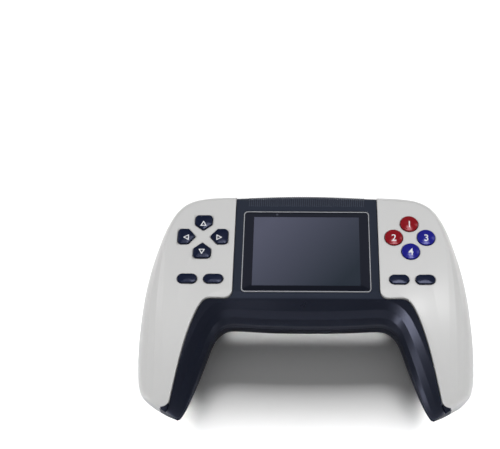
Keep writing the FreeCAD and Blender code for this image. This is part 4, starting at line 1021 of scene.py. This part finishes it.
tree = packed_surface(NODES["front_frame"])
felt_z = np.concatenate([[FELT_FIRST], np.linspace(FELT_SECOND, BAND_LAST, FELT_ROWS)])
felt_y = np.array([edge_at(tree, 0.0, float(z)) for z in felt_z])
felt_x = np.linspace(-FELT_REACH, FELT_REACH, FELT_PLACES)
felt_back = np.array([edge_at(tree, float(x), FELT_HEIGHT) for x in felt_x])
felt_back -= edge_at(tree, 0.0, FELT_HEIGHT)

path_y = np.concatenate([np.linspace(BAND_START, felt_y[0] - FLAT_END, FLAT_ROWS), felt_y])
path_z = np.concatenate([np.full(FLAT_ROWS, FRAME_TOP), felt_z])
length = np.concatenate([[0.0], np.cumsum(np.hypot(np.diff(path_y), np.diff(path_z)))])
along_band = np.linspace(0.0, length[-1], BAND_ROWS)
path_y, path_z = np.interp(along_band, length, path_y), np.interp(along_band, length, path_z)
print("length of the profile:", round(float(length[-1]), 1), "mm")

# %% Ribs
RIB_HEIGHT = 0.32
RIB_SUNK = 0.03
RIB_FADE = 0.8
RIB_STEPS = 8
BAND_DEPTH = 0.25
BEND_START = LINE + 33.0
BEND_LENGTH = 2.5
half, pitch = BAND_HALF / MM, RIB_PITCH / MM
ribs = round(2.0 * half / pitch)
band_x = np.linspace(-half, half, ribs * RIB_STEPS + 1)


def band_rows(depth):
    """Rows of the band at a depth below its ribs: profile + (lift - depth) * normal, moved back as the
    edge is. lift = height * (1 - cos(2 pi (x + half) / pitch)) / 2 * fade - sunk, and the fade goes
    straight from 0 at both ends of the profile to 1."""
    wave = 0.5 - 0.5 * np.cos(2.0 * np.pi * (band_x + half) / pitch)
    fade = np.minimum(1.0, np.minimum(along_band, along_band[-1] - along_band) / RIB_FADE)
    reach = RIB_HEIGHT * wave[None, :] * fade[:, None] - RIB_SUNK - depth
    normal_y, normal_z = -np.gradient(path_z), np.gradient(path_y)
    size = np.hypot(normal_y, normal_z)
    bent = np.clip((path_y - BEND_START) / BEND_LENGTH, 0.0, 1.0)[:, None]
    y = path_y[:, None] + bent * np.interp(band_x, felt_x, felt_back) + reach * (normal_y / size)[:, None]
    z = path_z[:, None] + reach * (normal_z / size)[:, None]
    return np.dstack([np.broadcast_to(band_x, y.shape), y, z])


top_rows, low_rows = band_rows(0.0), band_rows(BAND_DEPTH)
band = np.concatenate([top_rows, low_rows[::-1], top_rows[:1]])
pinched = np.concatenate([low_rows, low_rows[::-1], low_rows[:1]])
band[:, [0, -1]] = pinched[:, [0, -1]]
fluted = piece("fluted_band", band * MM, "housing", rib_shaded_plastic, closed_columns=False,
               sharp_degrees=60.0)
print("fluted band:", ribs, "ribs,", len(fluted.data.polygons), "faces")

# %% [markdown]
# ## Screw heads
# Six screws hold the case. They are sunk in deep wells, so a head shows only when its well is looked
# into: a low dome with a cross recess. The cross could be cut out with a boolean, which leaves long
# thin faces. The dome is one polar grid instead, rows being circles, and its height drops wherever a
# point lies inside the cross's arms.

# %% Screw heads
HEAD_RADIUS = 2.0
HEAD_WALL = 0.6
HEAD_DOME = 0.3
HEAD_TOP = 0.02
HEAD_BREAK = 0.12
RECESS_DEPTH = 0.6
RECESS_SOFT = 0.14
ARM_HALF = 0.36
ARM_REACH = 1.25
SCREWS = {"upper": (78.5, 35.8, 15.6), "middle": (28.0, -10.4, 15.6), "grip": (77.0, -34.2, 10.0)}
SCREW_TURNS = {"upper": (20.0, 65.0), "middle": (5.0, 40.0), "grip": (75.0, 30.0)}


def screw_head():
    """Head that faces down: z = -wall - dome * (1 - (r / R)^2) + depth * m, m being 1 inside the cross.
    The cross is where max(min(|x|, |y|) - half, max(|x|, |y|) - reach) is negative."""
    rim = round_loop(HEAD_RADIUS, 96)
    wall = carry(rim, [(0.0, HEAD_TOP), (0.0, HEAD_BREAK - HEAD_WALL), (-0.04, 0.03 - HEAD_WALL)])
    top = cap(wall[0], 0.0, 2)[::-1]
    radius = np.linspace(HEAD_RADIUS - HEAD_BREAK, 0.0, 30)[:, None]
    x, y = radius * rim[1][None, :, 0], radius * rim[1][None, :, 1]
    near, far = np.minimum(np.abs(x), np.abs(y)), np.maximum(np.abs(x), np.abs(y))
    inside = np.clip(0.5 - np.maximum(near - ARM_HALF, far - ARM_REACH) / RECESS_SOFT, 0.0, 1.0)
    z = -HEAD_WALL - HEAD_DOME * (1.0 - (radius / HEAD_RADIUS) ** 2) + RECESS_DEPTH * inside
    return np.concatenate([top, wall, np.dstack([x, y, z])])


head = screw_head()
for name, (across, y, z) in SCREWS.items():
    for side, sign, degrees in zip(("left", "right"), (-1.0, 1.0), SCREW_TURNS[name]):
        points = turned(head, degrees, (sign * across, y, z))
        piece("%s_%s_screw_head" % (name, side), points, "housing", black_steel)
print("screw heads:", 2 * len(SCREWS))

# %% [markdown]
# ## Thumb grip of the battery door
# The door carries five short rounded ridges near the end that is pressed to open it. They get longer
# and shorter again, so the grip is oval. An array modifier would make them all alike, so a loop
# makes each ridge with its own width, and they ride on the door.

# %% Thumb grip
DOOR_FACE = 6.0
GRIP_START = 6.0
GRIP_PITCH = 1.6
GRIP_WIDTHS = (9.0, 11.5, 13.0, 11.5, 9.0)
RIDGE_LENGTH = 0.8
RIDGE_CORNER = 0.39
RIDGE_SUNK = 0.2
RIDGE_WALL = 0.15
RIDGE_ROUND = 0.2
ridge_profile = [(0.0, DOOR_FACE + RIDGE_SUNK), (0.0, DOOR_FACE - RIDGE_WALL)]
ridge_profile += arc(-RIDGE_ROUND, DOOR_FACE - RIDGE_WALL, RIDGE_ROUND, 0.0, -ROLL_TURN, 6)
for ridge, width in enumerate(GRIP_WIDTHS):
    points = closed(carry(oblong_loop(width, RIDGE_LENGTH, RIDGE_CORNER, 8), ridge_profile))
    piece("door_grip_%d" % (ridge + 1), turned(points, 0, (0.0, GRIP_START + ridge * GRIP_PITCH, 0.0)),
          "door", rear_plastic)
print("ridges of the thumb grip:", len(GRIP_WIDTHS))

# %% [markdown]
# ## Contact tongue of the charging port
# The port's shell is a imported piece, and the dark tongue that carries the contacts lies inside it. It
# could be an extruded rectangle. Carried through a profile as the keys are, it gets rounded sides and
# a broken tip for nothing. It is made upright and then laid along Y.

# %% Contact tongue
TONGUE_PLACE = (12.0, 58.2, 24.8)
TONGUE_WIDTH = 5.8
TONGUE_LENGTH = 5.8
TONGUE_THICK = 0.75
TONGUE_CORNER = 0.3
tongue_profile = [(-0.1, 0.0), (0.0, 0.1), (0.0, TONGUE_LENGTH - 0.15), (-0.12, TONGUE_LENGTH)]
tongue = closed(carry(oblong_loop(TONGUE_WIDTH, TONGUE_THICK, TONGUE_CORNER, 8), tongue_profile))
along_y = np.stack([tongue[..., 0], tongue[..., 2], -tongue[..., 1]], axis=-1)
piece("port_tongue", turned(along_y, 0, TONGUE_PLACE), "housing", dark_plastic)
print("port tongue:", TONGUE_LENGTH, "mm long")
